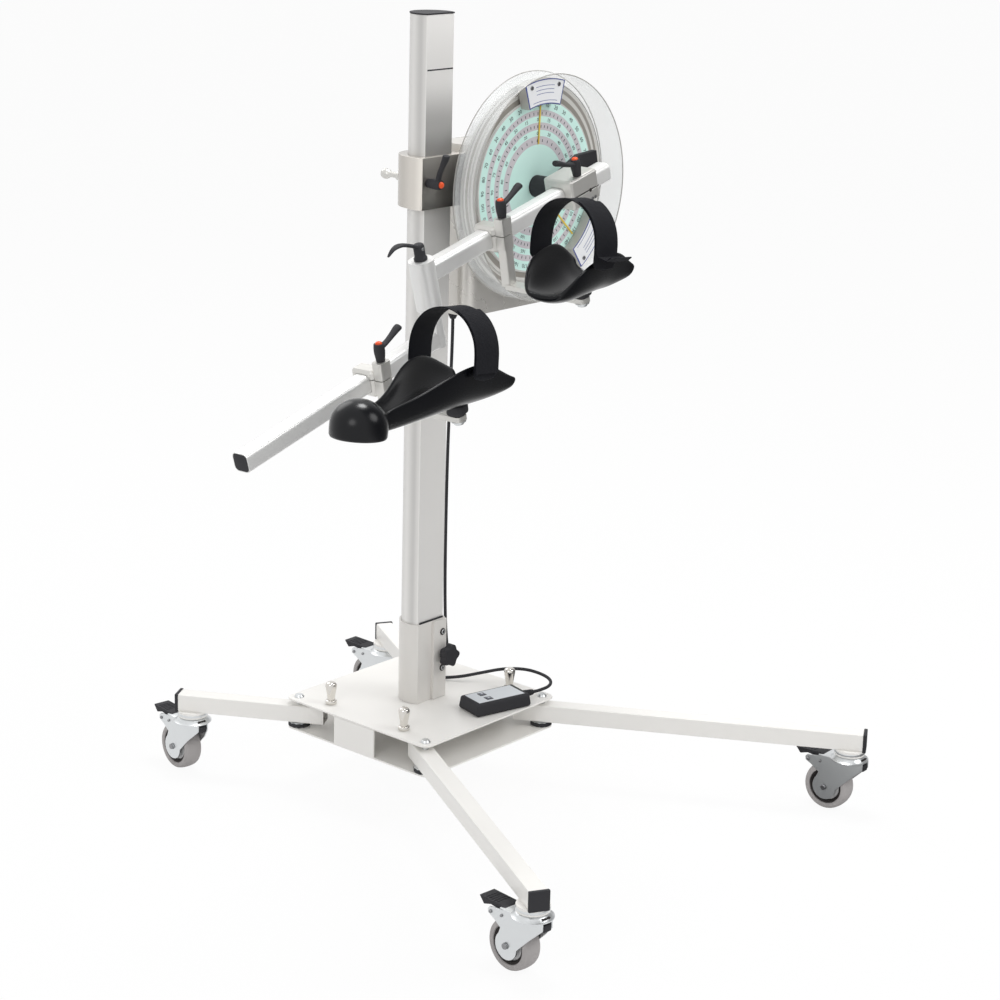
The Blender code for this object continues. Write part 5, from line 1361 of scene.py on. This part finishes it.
UPPER_SHELL: tuple[Section, ...] = (
    (-1.00, 0.50, -0.06, 0.08, 1.35), (-0.985, 0.58, -0.10, 0.13, 1.40), (-0.94, 0.68, -0.13, 0.24, 1.35),
    (-0.82, 0.84, -0.17, 0.50, 1.15), (-0.63, 0.95, -0.17, 0.77, 1.00), (-0.31, 1.00, -0.10, 0.92, 1.00),
    (0.00, 1.02, -0.01, 1.00, 1.00), (0.20, 1.00, 0.00, 0.88, 1.00), (0.36, 0.98, 0.08, 0.72, 1.00),
    (0.45, 1.00, 0.15, 0.65, 1.00), (0.472, 0.98, 0.19, 0.60, 1.00), (0.48, 0.94, 0.23, 0.54, 0.90))
FOREARM_SHELL: tuple[Section, ...] = (
    (-1.00, 0.32, -0.17, 0.31, 3.40), (-0.79, 0.42, -0.14, 0.42, 2.60), (-0.62, 0.60, -0.10, 0.61, 1.60),
    (-0.43, 0.83, -0.05, 0.86, 1.00), (-0.25, 0.94, -0.01, 1.00, 1.00), (-0.06, 0.98, 0.01, 0.97, 1.00),
    (0.12, 0.98, 0.04, 0.75, 1.00), (0.23, 0.98, 0.11, 0.61, 1.00), (0.270, 1.00, 0.16, 0.58, 1.00),
    (0.285, 0.98, 0.19, 0.54, 1.00), (0.29, 0.93, 0.23, 0.48, 0.90))


@dataclass
class Pad(Assembly):
    """A moulded trough with its pivot block, bolt and webbing strap.

    Args:
        node: the pad's CAD node.
        strap_node: the strap's CAD node.
        body: the body that they ride on.
        pivot: the frame on the pivot's axis.
        stations: x, half width, floor, rim and floor thickness of each section, as shares.
        block_height: the height of the block under the shell.
        reach: the length from the pivot to the pad's far end.
        rim: the height of its highest rim.
        strap_x: the middle of the strap along the pad.
        strap_low: the height where the strap leaves the rims.
        strap_arch: the rise of the strap above that height.
        tail: how far the strap's loose end stands off.
        strap_half: half the strap's span.
        strap_turn: how far the strap is turned on the pad, in degrees.
        half_width: the half width of a section whose share is 1.
        ear: how far the near rim turns out.
        wall: the thickness of the shell.
        block_side: the side of the block.
        steps: how many steps a section has.
    """

    node: str
    strap_node: str
    body: str
    pivot: Matrix
    stations: tuple[Section, ...]
    block_height: float
    reach: float
    rim: float
    strap_x: float
    strap_low: float
    strap_arch: float
    tail: float = 0.0
    strap_half: float = 0.0642
    strap_turn: float = -15.0
    half_width: float = 0.053
    ear: float = 0.003
    wall: float = 0.006
    block_side: float = 0.027
    steps: int = 14

    @property
    def level(self) -> Matrix:
        """The frame in which the shell lies."""
        return self.pivot @ LEVEL

    def build(self) -> None:
        """Builds the shell, its base and the strap."""
        self.shell()
        self.base()
        self.strap()

    def section(self, bm: BMesh, station: Section) -> list[BMVert]:
        """One closed U section of the shell.

        Args:
            bm: the shell's mesh.
            station: the section's shares.

        Returns:
            Its vertices, the outer skin first.
        """
        x, half, floor, rim, thick = station
        high = self.block_height + rim * self.rim
        ear = self.ear * max(0.0, x) / self.stations[-1][0]
        rim_flare = 0.0015
        verts = []
        for inner in (False, True):
            wide = half * self.half_width - (self.wall * 0.75 if inner else 0.0)
            bottom = self.block_height + floor * self.rim + (thick * self.wall if inner else 0.0)
            for i in range(self.steps, -1, -1) if inner else range(self.steps + 1):
                angle = math.pi * i / self.steps
                flare = 0.0 if inner or 0 < i < self.steps else rim_flare
                y = -(wide + flare) * math.cos(angle) - ear * (1 - i / self.steps) ** 3
                z = high - (high - bottom) * math.sin(angle) ** 0.7
                verts.append(bm.verts.new((x * self.reach, y, z)))
        return verts

    def shell(self) -> None:
        """The trough as a subdivided cage."""
        bm = bmesh.new()
        loops = [self.section(bm, station) for station in self.stations]
        tube_faces(bm, loops, closed=False)
        count = len(loops[0])
        for loop in (loops[0], loops[-1]):
            for i in range(self.steps):
                bm.faces.new((loop[i], loop[i + 1], loop[count - 2 - i], loop[count - 1 - i]))
        shell = new_piece(self.node + "_shell", bm, GLOSS_BLACK, self.body, (self.node,), 180, self.level)
        subdivide(shell, 2)

    def base(self) -> None:
        """The rounded block, the washer and the bolt under it."""
        height = self.block_height + 0.004
        block = rounded_box((self.block_side, self.block_side, height), (0, 0, height / 2), 0.006, 5)
        new_piece(self.node + "_block", block, BLACK, self.body, place=self.pivot)
        low = -BRACKET - 2 * GAP
        bolt = lathe([(0, 0.004), (0.005, 0.004), (0.005, low), (0.0112, low), (0.0112, low - 0.0016),
                      (0.0078, low - 0.0018), (0.0074, low - 0.0054), (0.0066, low - 0.0060),
                      (0, low - 0.0060)], 36)
        new_piece(self.node + "_pivot_bolt", bolt, ZINC, self.body, sharp=45, place=self.pivot)

    def arch_point(self, angle: float, clearance: float = 0.0) -> Vector:
        """A point of the strap's arch.

        Args:
            angle: its angle from the far side, in radians.
            clearance: how far it stands off the strap's own line.

        Returns:
            The point in the strap's frame.
        """
        across = (self.strap_half * 1.01 + clearance) * math.cos(angle)
        rise = (self.strap_arch + clearance) * math.sin(angle) ** 0.86
        return Vector((0, across, self.block_height + self.strap_low + rise))

    @staticmethod
    def webbing(line: list[Vector], columns: int, width: float, thickness: float,
                wave: float = 0.0) -> BMesh:
        """A band of webbing along a line in the plane across the pad.

        Args:
            line: the middle of the band.
            columns: how many points it has across.
            width: its width.
            thickness: half its thickness.
            wave: how far its near edges wander.

        Returns:
            The closed band.
        """
        bm = bmesh.new()
        rows = []
        last = len(line) - 1
        for i, point in enumerate(line):
            run = (line[min(i + 1, last)] - line[max(i - 1, 0)]).normalized()
            share = i / last
            ripple = wave * math.sin(share * 40) * max(0.0, share * 2 - 1)
            row = []
            for skin in (-1, 1):
                for k in range(columns) if skin < 0 else range(columns - 1, -1, -1):
                    across = k / (columns - 1) - 0.5
                    side = 1.0 if across > 0 else 0.2
                    x = across * width + ripple * side * abs(across) * 2
                    offset = skin * thickness - 0.0010 * (1 - (2 * across) ** 2)
                    row.append(bm.verts.new(point + Vector((x, run.z * offset, -run.y * offset))))
            rows.append(row)
        tube_faces(bm, rows)
        return bm

    def strap(self) -> None:
        """A webbing band that stands over the trough, and its loose end folded down over its near leg."""
        low, half = self.block_height + self.strap_low, self.strap_half
        place = self.level @ shift(self.strap_x, 0, 0) @ turn("Z", self.strap_turn)
        ends = [Vector((0, half, low - 0.028)), Vector((0, half, low - 0.010)), Vector((0, half * 1.01, low))]
        arch = [self.arch_point(math.pi * i / 24) for i in range(1, 24)]
        line = ends + arch + [Vector((0, -end.y, end.z)) for end in reversed(ends)]
        band = new_piece(self.strap_node + "_band", self.webbing(line, 7, 0.049, 0.0011, 0.0022), WEBBING,
                         self.body, (self.strap_node,), 60, place)
        subdivide(band, 1)
        flap = [self.arch_point(math.pi * (0.62 + 0.38 * i / 11), 0.0028) for i in range(12)]
        if self.tail:
            start = -half - 0.0060
            flap += [Vector((0.002, start, low - 0.006)),
                     Vector((0.006, start - self.tail * 0.7, low - 0.010)),
                     Vector((0.008, start - self.tail, low - 0.004))]
        else:
            flap.append(Vector((0, -half - 0.0040, low - 0.016)))
        new_piece(self.strap_node + "_flap", self.webbing(flap, 2, 0.047, 0.0009), WEBBING, self.body,
                  sharp=50, place=place)


@dataclass
class ForearmPad(Pad):
    """The forearm trough with the domed hand rest at its far end."""

    palm_x: float = -0.272
    palm_y: float = 0.008
    palm_radius: float = 0.0402
    palm_height: float = 0.054
    palm_sink: float = 0.0135

    def build(self) -> None:
        """Builds the trough and the hand rest."""
        super().build()
        self.palm()

    def palm(self) -> None:
        """A smooth dome with a rolled lower edge."""
        low = self.block_height - self.palm_sink
        top = low + self.palm_height
        radius = self.palm_radius
        profile = [(0, top)]
        for i in range(1, 15):
            angle = math.radians(90 - 6 * i)
            profile.append((radius * math.cos(angle), top - radius * 0.92 * (1 - math.sin(angle))))
        profile += [(radius * 1.004, low + 0.012), (radius * 0.995, low + 0.004),
                    (radius * 0.96, low + 0.001), (radius * 0.90, low), (radius * 0.82, low + 0.002),
                    (radius * 0.78, low + 0.010), (0, low + 0.014)]
        new_piece("hand_rest", lathe(profile, 72), GLOSS_BLACK, self.body, sharp=50,
                  place=self.level @ shift(self.palm_x, self.palm_y, 0))


@dataclass
class Handset(Assembly):
    """The hand control with its membrane, its two keys and its ribbed boot."""

    length: float = 0.108
    width: float = 0.058
    height: float = 0.022
    key_x: float = -0.020
    key_y: float = 0.010
    boot_length: float = 0.026
    boot_radius: float = 0.0068

    def build(self) -> None:
        """Builds the body, the membrane and the keys."""
        body = rounded_box((self.length, self.width, self.height), (0, 0, self.height / 2), 0.0046, 5)
        for vert in body.verts:
            if vert.co.z > self.height * 0.6:
                vert.co.y *= 0.94
                vert.co.x *= 0.975
        new_piece("handset_case", body, BLACK, "base", ("handset",), 60, HANDSET)
        panel = rounded_box((0.090, 0.0435, 0.0006), (-0.001, 0, self.height + 0.0001), 0.0002, 1)
        new_piece("handset_panel", panel, MEMBRANE, "base", place=HANDSET)
        for label, hand in (("up", 1), ("down", -1)):
            self.key(label, hand)
        self.boot()

    def key(self, label: str, hand: int) -> None:
        """A square key in a dark frame, with a plain arrow head.

        Args:
            label: the key's name.
            hand: 1 for the key on the far side, -1 for the near one.
        """
        x, y, top = self.key_x, hand * self.key_y, self.height
        key = rounded_box((0.0088, 0.0088, 0.0030), (x, y, top + 0.0002), 0.0006, 3)
        new_piece("handset_key_" + label, key, KEY_GREY, "button_" + label, ("handset_button_" + label,),
                  place=HANDSET)
        arrow = bmesh.new()
        bmesh.ops.create_cone(arrow, cap_ends=True, segments=3, radius1=0.0026, radius2=0.0026, depth=0.0003,
                              matrix=shift(x, y, top + 0.0018) @ turn("Z", 90 * hand))
        new_piece("handset_arrow_" + label, arrow, MEMBRANE, "button_" + label, place=HANDSET)
        reach, bar, long = 0.0056, 0.0009, 0.0121
        rim = [rounded_box((sx, sy, 0.0008), (x + dx, y + dy, top + 0.0005), 0.0002, 1)
               for dx, dy, sx, sy in ((reach, 0, bar, long), (-reach, 0, bar, long), (0, reach, long, bar),
                                      (0, -reach, long, bar))]
        new_piece("handset_key_frame_" + label, join(rim), DARK_RUBBER_AND_SHADE, "base", place=HANDSET)

    def boot(self) -> None:
        """The ribbed strain relief at the cord's end."""
        profile = [(0, 0), (self.boot_radius, 0)]
        for i in range(6):
            z = 0.004 + i * 0.0036
            radius = self.boot_radius - 0.0022 * z / self.boot_length
            groove = radius - 0.0011
            profile += [(radius, z), (radius, z + 0.0020), (groove, z + 0.0023), (groove, z + 0.0033)]
        profile += [(0.0045, self.boot_length), (0, self.boot_length)]
        place = HANDSET @ shift(self.length / 2 - 0.004, 0, self.height / 2) @ turn("Y", 90)
        new_piece("handset_boot", lathe(profile, 28), BLACK, "base", sharp=40, place=place)


@dataclass
class HandsetCord(Assembly):
    """The hand control's cord, from its boot over the plate and up to the gland.

    Args:
        radius: its radius.
        loose_z: a height up the cord; not used.
        points: its route.
    """

    radius: float = 0.0027
    loose_z: float = 0.165
    points: tuple[Point, ...] = (
        (0.1240, -0.1385, 0.1648), (0.1330, -0.1407, 0.1648), (0.1440, -0.1430, 0.1655),
        (0.1555, -0.1440, 0.1665), (0.1660, -0.1415, 0.1680), (0.1740, -0.1350, 0.1700),
        (0.1785, -0.1250, 0.1720), (0.1790, -0.1135, 0.1740), (0.1765, -0.1020, 0.1760),
        (0.1715, -0.0905, 0.1780), (0.1645, -0.0790, 0.1790), (0.1565, -0.0680, 0.1790),
        (0.1480, -0.0570, 0.1780), (0.1390, -0.0465, 0.1760), (0.1300, -0.0360, 0.1730),
        (0.1210, -0.0260, 0.1700), (0.1120, -0.0160, 0.1670), (0.1035, -0.0060, 0.1640),
        (0.0955, 0.0045, 0.1615), (0.0880, 0.0155, 0.1595), (0.0810, 0.0270, 0.1580),
        (0.0750, 0.0390, 0.1570), (0.0720, 0.0520, 0.1568), (0.0750, 0.0650, 0.1568),
        (0.0850, 0.0735, 0.1570), (0.0975, 0.0735, 0.1580), (0.1065, 0.0650, 0.1610),
        (0.1095, 0.0530, 0.1680), (0.1075, 0.0420, 0.1790), (0.1025, 0.0350, 0.1930),
        (0.0965, 0.0310, 0.2100), (0.0910, 0.0290, 0.2350), (0.0870, 0.0280, 0.2700),
        (0.0845, 0.0275, 0.3200), (0.0830, 0.0270, 0.3900), (0.0825, 0.0265, 0.4700),
        (0.0830, 0.0262, 0.5500), (0.0845, 0.0258, 0.6200), (0.0862, 0.0254, 0.6800),
        (0.0874, 0.0251, 0.7250), (0.0879, 0.0250, 0.7550), (0.0880, 0.0250, 0.7700),
        (0.0880, 0.0250, 0.7804),
    )

    def build(self) -> None:
        path = smooth_path(list(self.points), 4)
        tube = sweep(path, [(self.radius, self.radius)] * len(path), Vector((0.45, 0.45, 0.77)), 16)
        cord = new_piece("handset_lead", tube, BLACK, None, ("handset_cord",), 60)
        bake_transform(cord)


# The studio


@dataclass
class Studio(Assembly):
    """A pale floor, soft lamps, the world and the camera.

    Args:
        camera_place: the camera's place.
        azimuth: the direction that it looks in, in degrees from +Y.
        pitch: how far it looks down.
        roll: how far it leans.
        lens: its focal length in millimetres.
        shift_x: the picture's shift to the side.
        shift_y: the picture's shift upwards.
        aim: the point that the lamps shine at.
        lamps: the name, place, size and power of each lamp.
        dark_side: the direction in which reflections see a dark room.
        pale_tone: how bright the room is elsewhere.
        dark_tone: how bright it is on the dark side.
        world_strength: the world's light on the machine.
        floor_reach: half the floor's side.
        floor_z: the floor's height, a little under the tyres.
        floor_glow: how far the floor looks plain white.
    """

    camera_place: Point = (-2.8230, -2.6046, 1.6264)
    azimuth: float = -50.16
    pitch: float = 15.40
    roll: float = 1.73
    lens: float = 88.22
    shift_x: float = -0.0430
    shift_y: float = -0.0407
    aim: Point = (0, -0.1, 0.7)
    lamps: tuple[tuple[str, Point, float, float], ...] = (
        ("key_lamp", (1.6, -3.4, 3.6), 2.4, 56.0), ("fill_lamp", (-3.6, -1.2, 2.6), 1.6, 20.0),
        ("top_lamp", (0.5, 0.1, 3.3), 0.9, 36.0), ("back_lamp", (0.5, 3.2, 3.0), 2.4, 24.0))
    dark_side: Point = (0.77, -0.64, 0.0)
    pale_tone: float = 0.92
    dark_tone: float = 0.16
    world_strength: float = 0.62
    floor_reach: float = 60.0
    floor_z: float = -0.0004
    floor_glow: float = 0.93

    def camera(self) -> None:
        """The camera at the photograph's place, turn and lens."""
        azimuth, pitch, roll = (math.radians(v) for v in (self.azimuth, self.pitch, self.roll))
        look = Vector((-math.sin(azimuth) * math.cos(pitch), math.cos(azimuth) * math.cos(pitch),
                       -math.sin(pitch)))
        right = Vector((math.cos(azimuth), math.sin(azimuth), 0.0))
        up = right.cross(look)
        across = right * math.cos(roll) + up * math.sin(roll)
        above = up * math.cos(roll) - right * math.sin(roll)
        data = bpy.data.cameras.new("studio_camera")
        data.lens = self.lens
        data.sensor_width = 36.0
        data.shift_x = self.shift_x
        data.shift_y = self.shift_y
        data.clip_end = 200.0
        camera = bpy.data.objects.new("studio_camera", data)
        matrix = Matrix((across, above, -look)).transposed().to_4x4()
        matrix.translation = self.camera_place
        camera.matrix_world = matrix
        bpy.context.scene.collection.objects.link(camera)
        bpy.context.scene.camera = camera

    def build(self) -> None:
        """Sets the view, the world, the lamps and the floor."""
        bpy.context.scene.view_settings.view_transform = "Standard"
        self.world()
        for name, place, size, power in self.lamps:
            self.lamp(name, place, size, power)
        self.floor()

    def tone_group(self) -> NodeTree:
        """What shiny surfaces see in each direction: pale all round, dark on one side.

        Returns:
            A node group from a direction to a brightness.
        """
        found = bpy.data.node_groups.get("room_tone")
        if found:
            return found
        group, source, result = new_group("room_tone", {"Vector": "Vector"}, {"Tone": "Float"})
        level = add_node(group, "VectorMath", {0: source.outputs["Vector"], 1: (1.0, 1.0, 0.0)},
                         operation="MULTIPLY")
        unit = add_node(group, "VectorMath", {0: level.outputs[0]}, operation="NORMALIZE")
        side = add_node(group, "VectorMath", {0: unit.outputs[0], 1: self.dark_side}, operation="DOT_PRODUCT")
        tone = add_node(group, "MapRange", {
            "Value": side.outputs["Value"], "From Min": 0.35, "From Max": 1.0, "To Min": self.pale_tone,
            "To Max": self.dark_tone}, interpolation_type="SMOOTHSTEP")
        feed(group, result, {"Tone": tone.outputs["Result"]})
        return group

    def room(self, tree: NodeTree, place: str) -> tuple[Socket, ...]:
        """Adds the ray tests and the room's tone to a tree.

        Args:
            tree: the world's or the floor's nodes.
            place: the name of the coordinates that give the direction.

        Returns:
            1 where the camera looks straight or through clear plastic, 1 in a reflection, and the tone.
        """
        rays = add_node(tree, "LightPath").outputs
        tone = add_node(tree, "Group", {"Vector": add_node(tree, "TexCoord").outputs[place]},
                        node_tree=self.tone_group())
        shown = add_node(tree, "Math", {0: rays["Is Camera Ray"], 1: rays["Is Transmission Ray"]},
                         operation="MAXIMUM")
        return shown.outputs[0], rays["Is Glossy Ray"], tone.outputs[0]

    def world(self) -> None:
        """White to the camera, a little softer as light, and the room's tone in reflections."""
        world = bpy.data.worlds.new("studio_world")
        bpy.context.scene.world = world
        world.use_nodes = True
        tree = world.node_tree
        shown, glossy, tone = self.room(tree, "Generated")
        seen = add_node(tree, "MapRange", {"To Min": self.world_strength, "To Max": 1.0, "Value": shown})
        strength = add_node(tree, "Mix", {0: glossy, 2: seen.outputs["Result"], 3: tone})
        feed(tree, tree.nodes["Background"], {"Color": (1.0, 1.0, 1.0, 1.0), "Strength": strength.outputs[0]})

    def lamp(self, name: str, place: Point, size: float, power: float) -> None:
        """A round soft lamp that points at the machine.

        Args:
            name: its name.
            place: its place.
            size: its diameter.
            power: its power in watts.
        """
        data = bpy.data.lights.new(name, "AREA")
        data.shape = "DISK"
        data.size = size
        data.energy = power
        lamp = bpy.data.objects.new(name, data)
        turned = (Vector(self.aim) - Vector(place)).to_track_quat("-Z", "Y").to_matrix().to_4x4()
        lamp.matrix_world = Matrix.Translation(place) @ turned
        bpy.context.scene.collection.objects.link(lamp)

    def floor(self) -> None:
        """A wide pale floor that keeps the machine's shadow."""
        bm = bmesh.new()
        bmesh.ops.create_grid(bm, x_segments=1, y_segments=1, size=self.floor_reach)
        bm.transform(shift(0, 0, self.floor_z))
        mesh = bpy.data.meshes.new("studio_floor")
        bm.to_mesh(mesh)
        bm.free()
        material = bpy.data.materials.new("floor_white")
        material.use_nodes = True
        tree = material.node_tree
        shader = tree.nodes["Principled BSDF"]
        feed(tree, shader, {"Base Color": (0.86, 0.86, 0.86, 1.0), "Roughness": 0.9})
        shown, glossy, tone = self.room(tree, "Object")
        strength = add_node(tree, "Mix", {0: glossy, 2: 1.0, 3: tone})
        glow = add_node(tree, "Emission", {"Strength": strength.outputs[0]})
        share = add_node(tree, "Math", {0: shown, 1: self.floor_glow}, operation="MULTIPLY")
        either = add_node(tree, "Math", {0: share.outputs[0], 1: glossy}, operation="MAXIMUM")
        mix = add_node(tree, "MixShader", {
            "Fac": either.outputs[0], 1: shader.outputs[0], 2: glow.outputs[0]})
        feed(tree, tree.nodes["Material Output"], {"Surface": mix.outputs[0]})
        mesh.materials.append(material)
        floor = bpy.data.objects.new("studio_floor", mesh)
        bpy.context.scene.collection.objects.link(floor)


def main() -> None:
    """Builds the studio and every assembly in order."""
    logging.basicConfig(level=logging.INFO, format="%(message)s")
    studio = Studio()
    studio.camera()
    upper_pad = Pad("upper_arm_pad", "upper_arm_strap", "upper_pad", UPPER_PIVOT, UPPER_SHELL,
                    block_height=0.010, reach=0.128, rim=0.068, strap_x=-0.045, strap_low=0.070,
                    strap_arch=0.072, tail=0.020)
    forearm_pad = ForearmPad("forearm_pad", "forearm_strap", "forearm_pad", FOREARM_PIVOT, FOREARM_SHELL,
                             block_height=0.015, reach=0.242, rim=0.072, strap_x=-0.030, strap_low=0.076,
                             strap_arch=0.070)
    assemblies: list[Assembly] = [
        HandsetCord(), studio, Stand(), *(Castor(corner) for corner in Corner), Column(), Carriage(),
        Housing(), Dial(), Arm(), upper_pad, forearm_pad, Handset()]
    for assembly in assemblies:
        assembly.build()
        LOG.info("built %s", type(assembly).__name__)


if __name__ == "__main__":
    main()
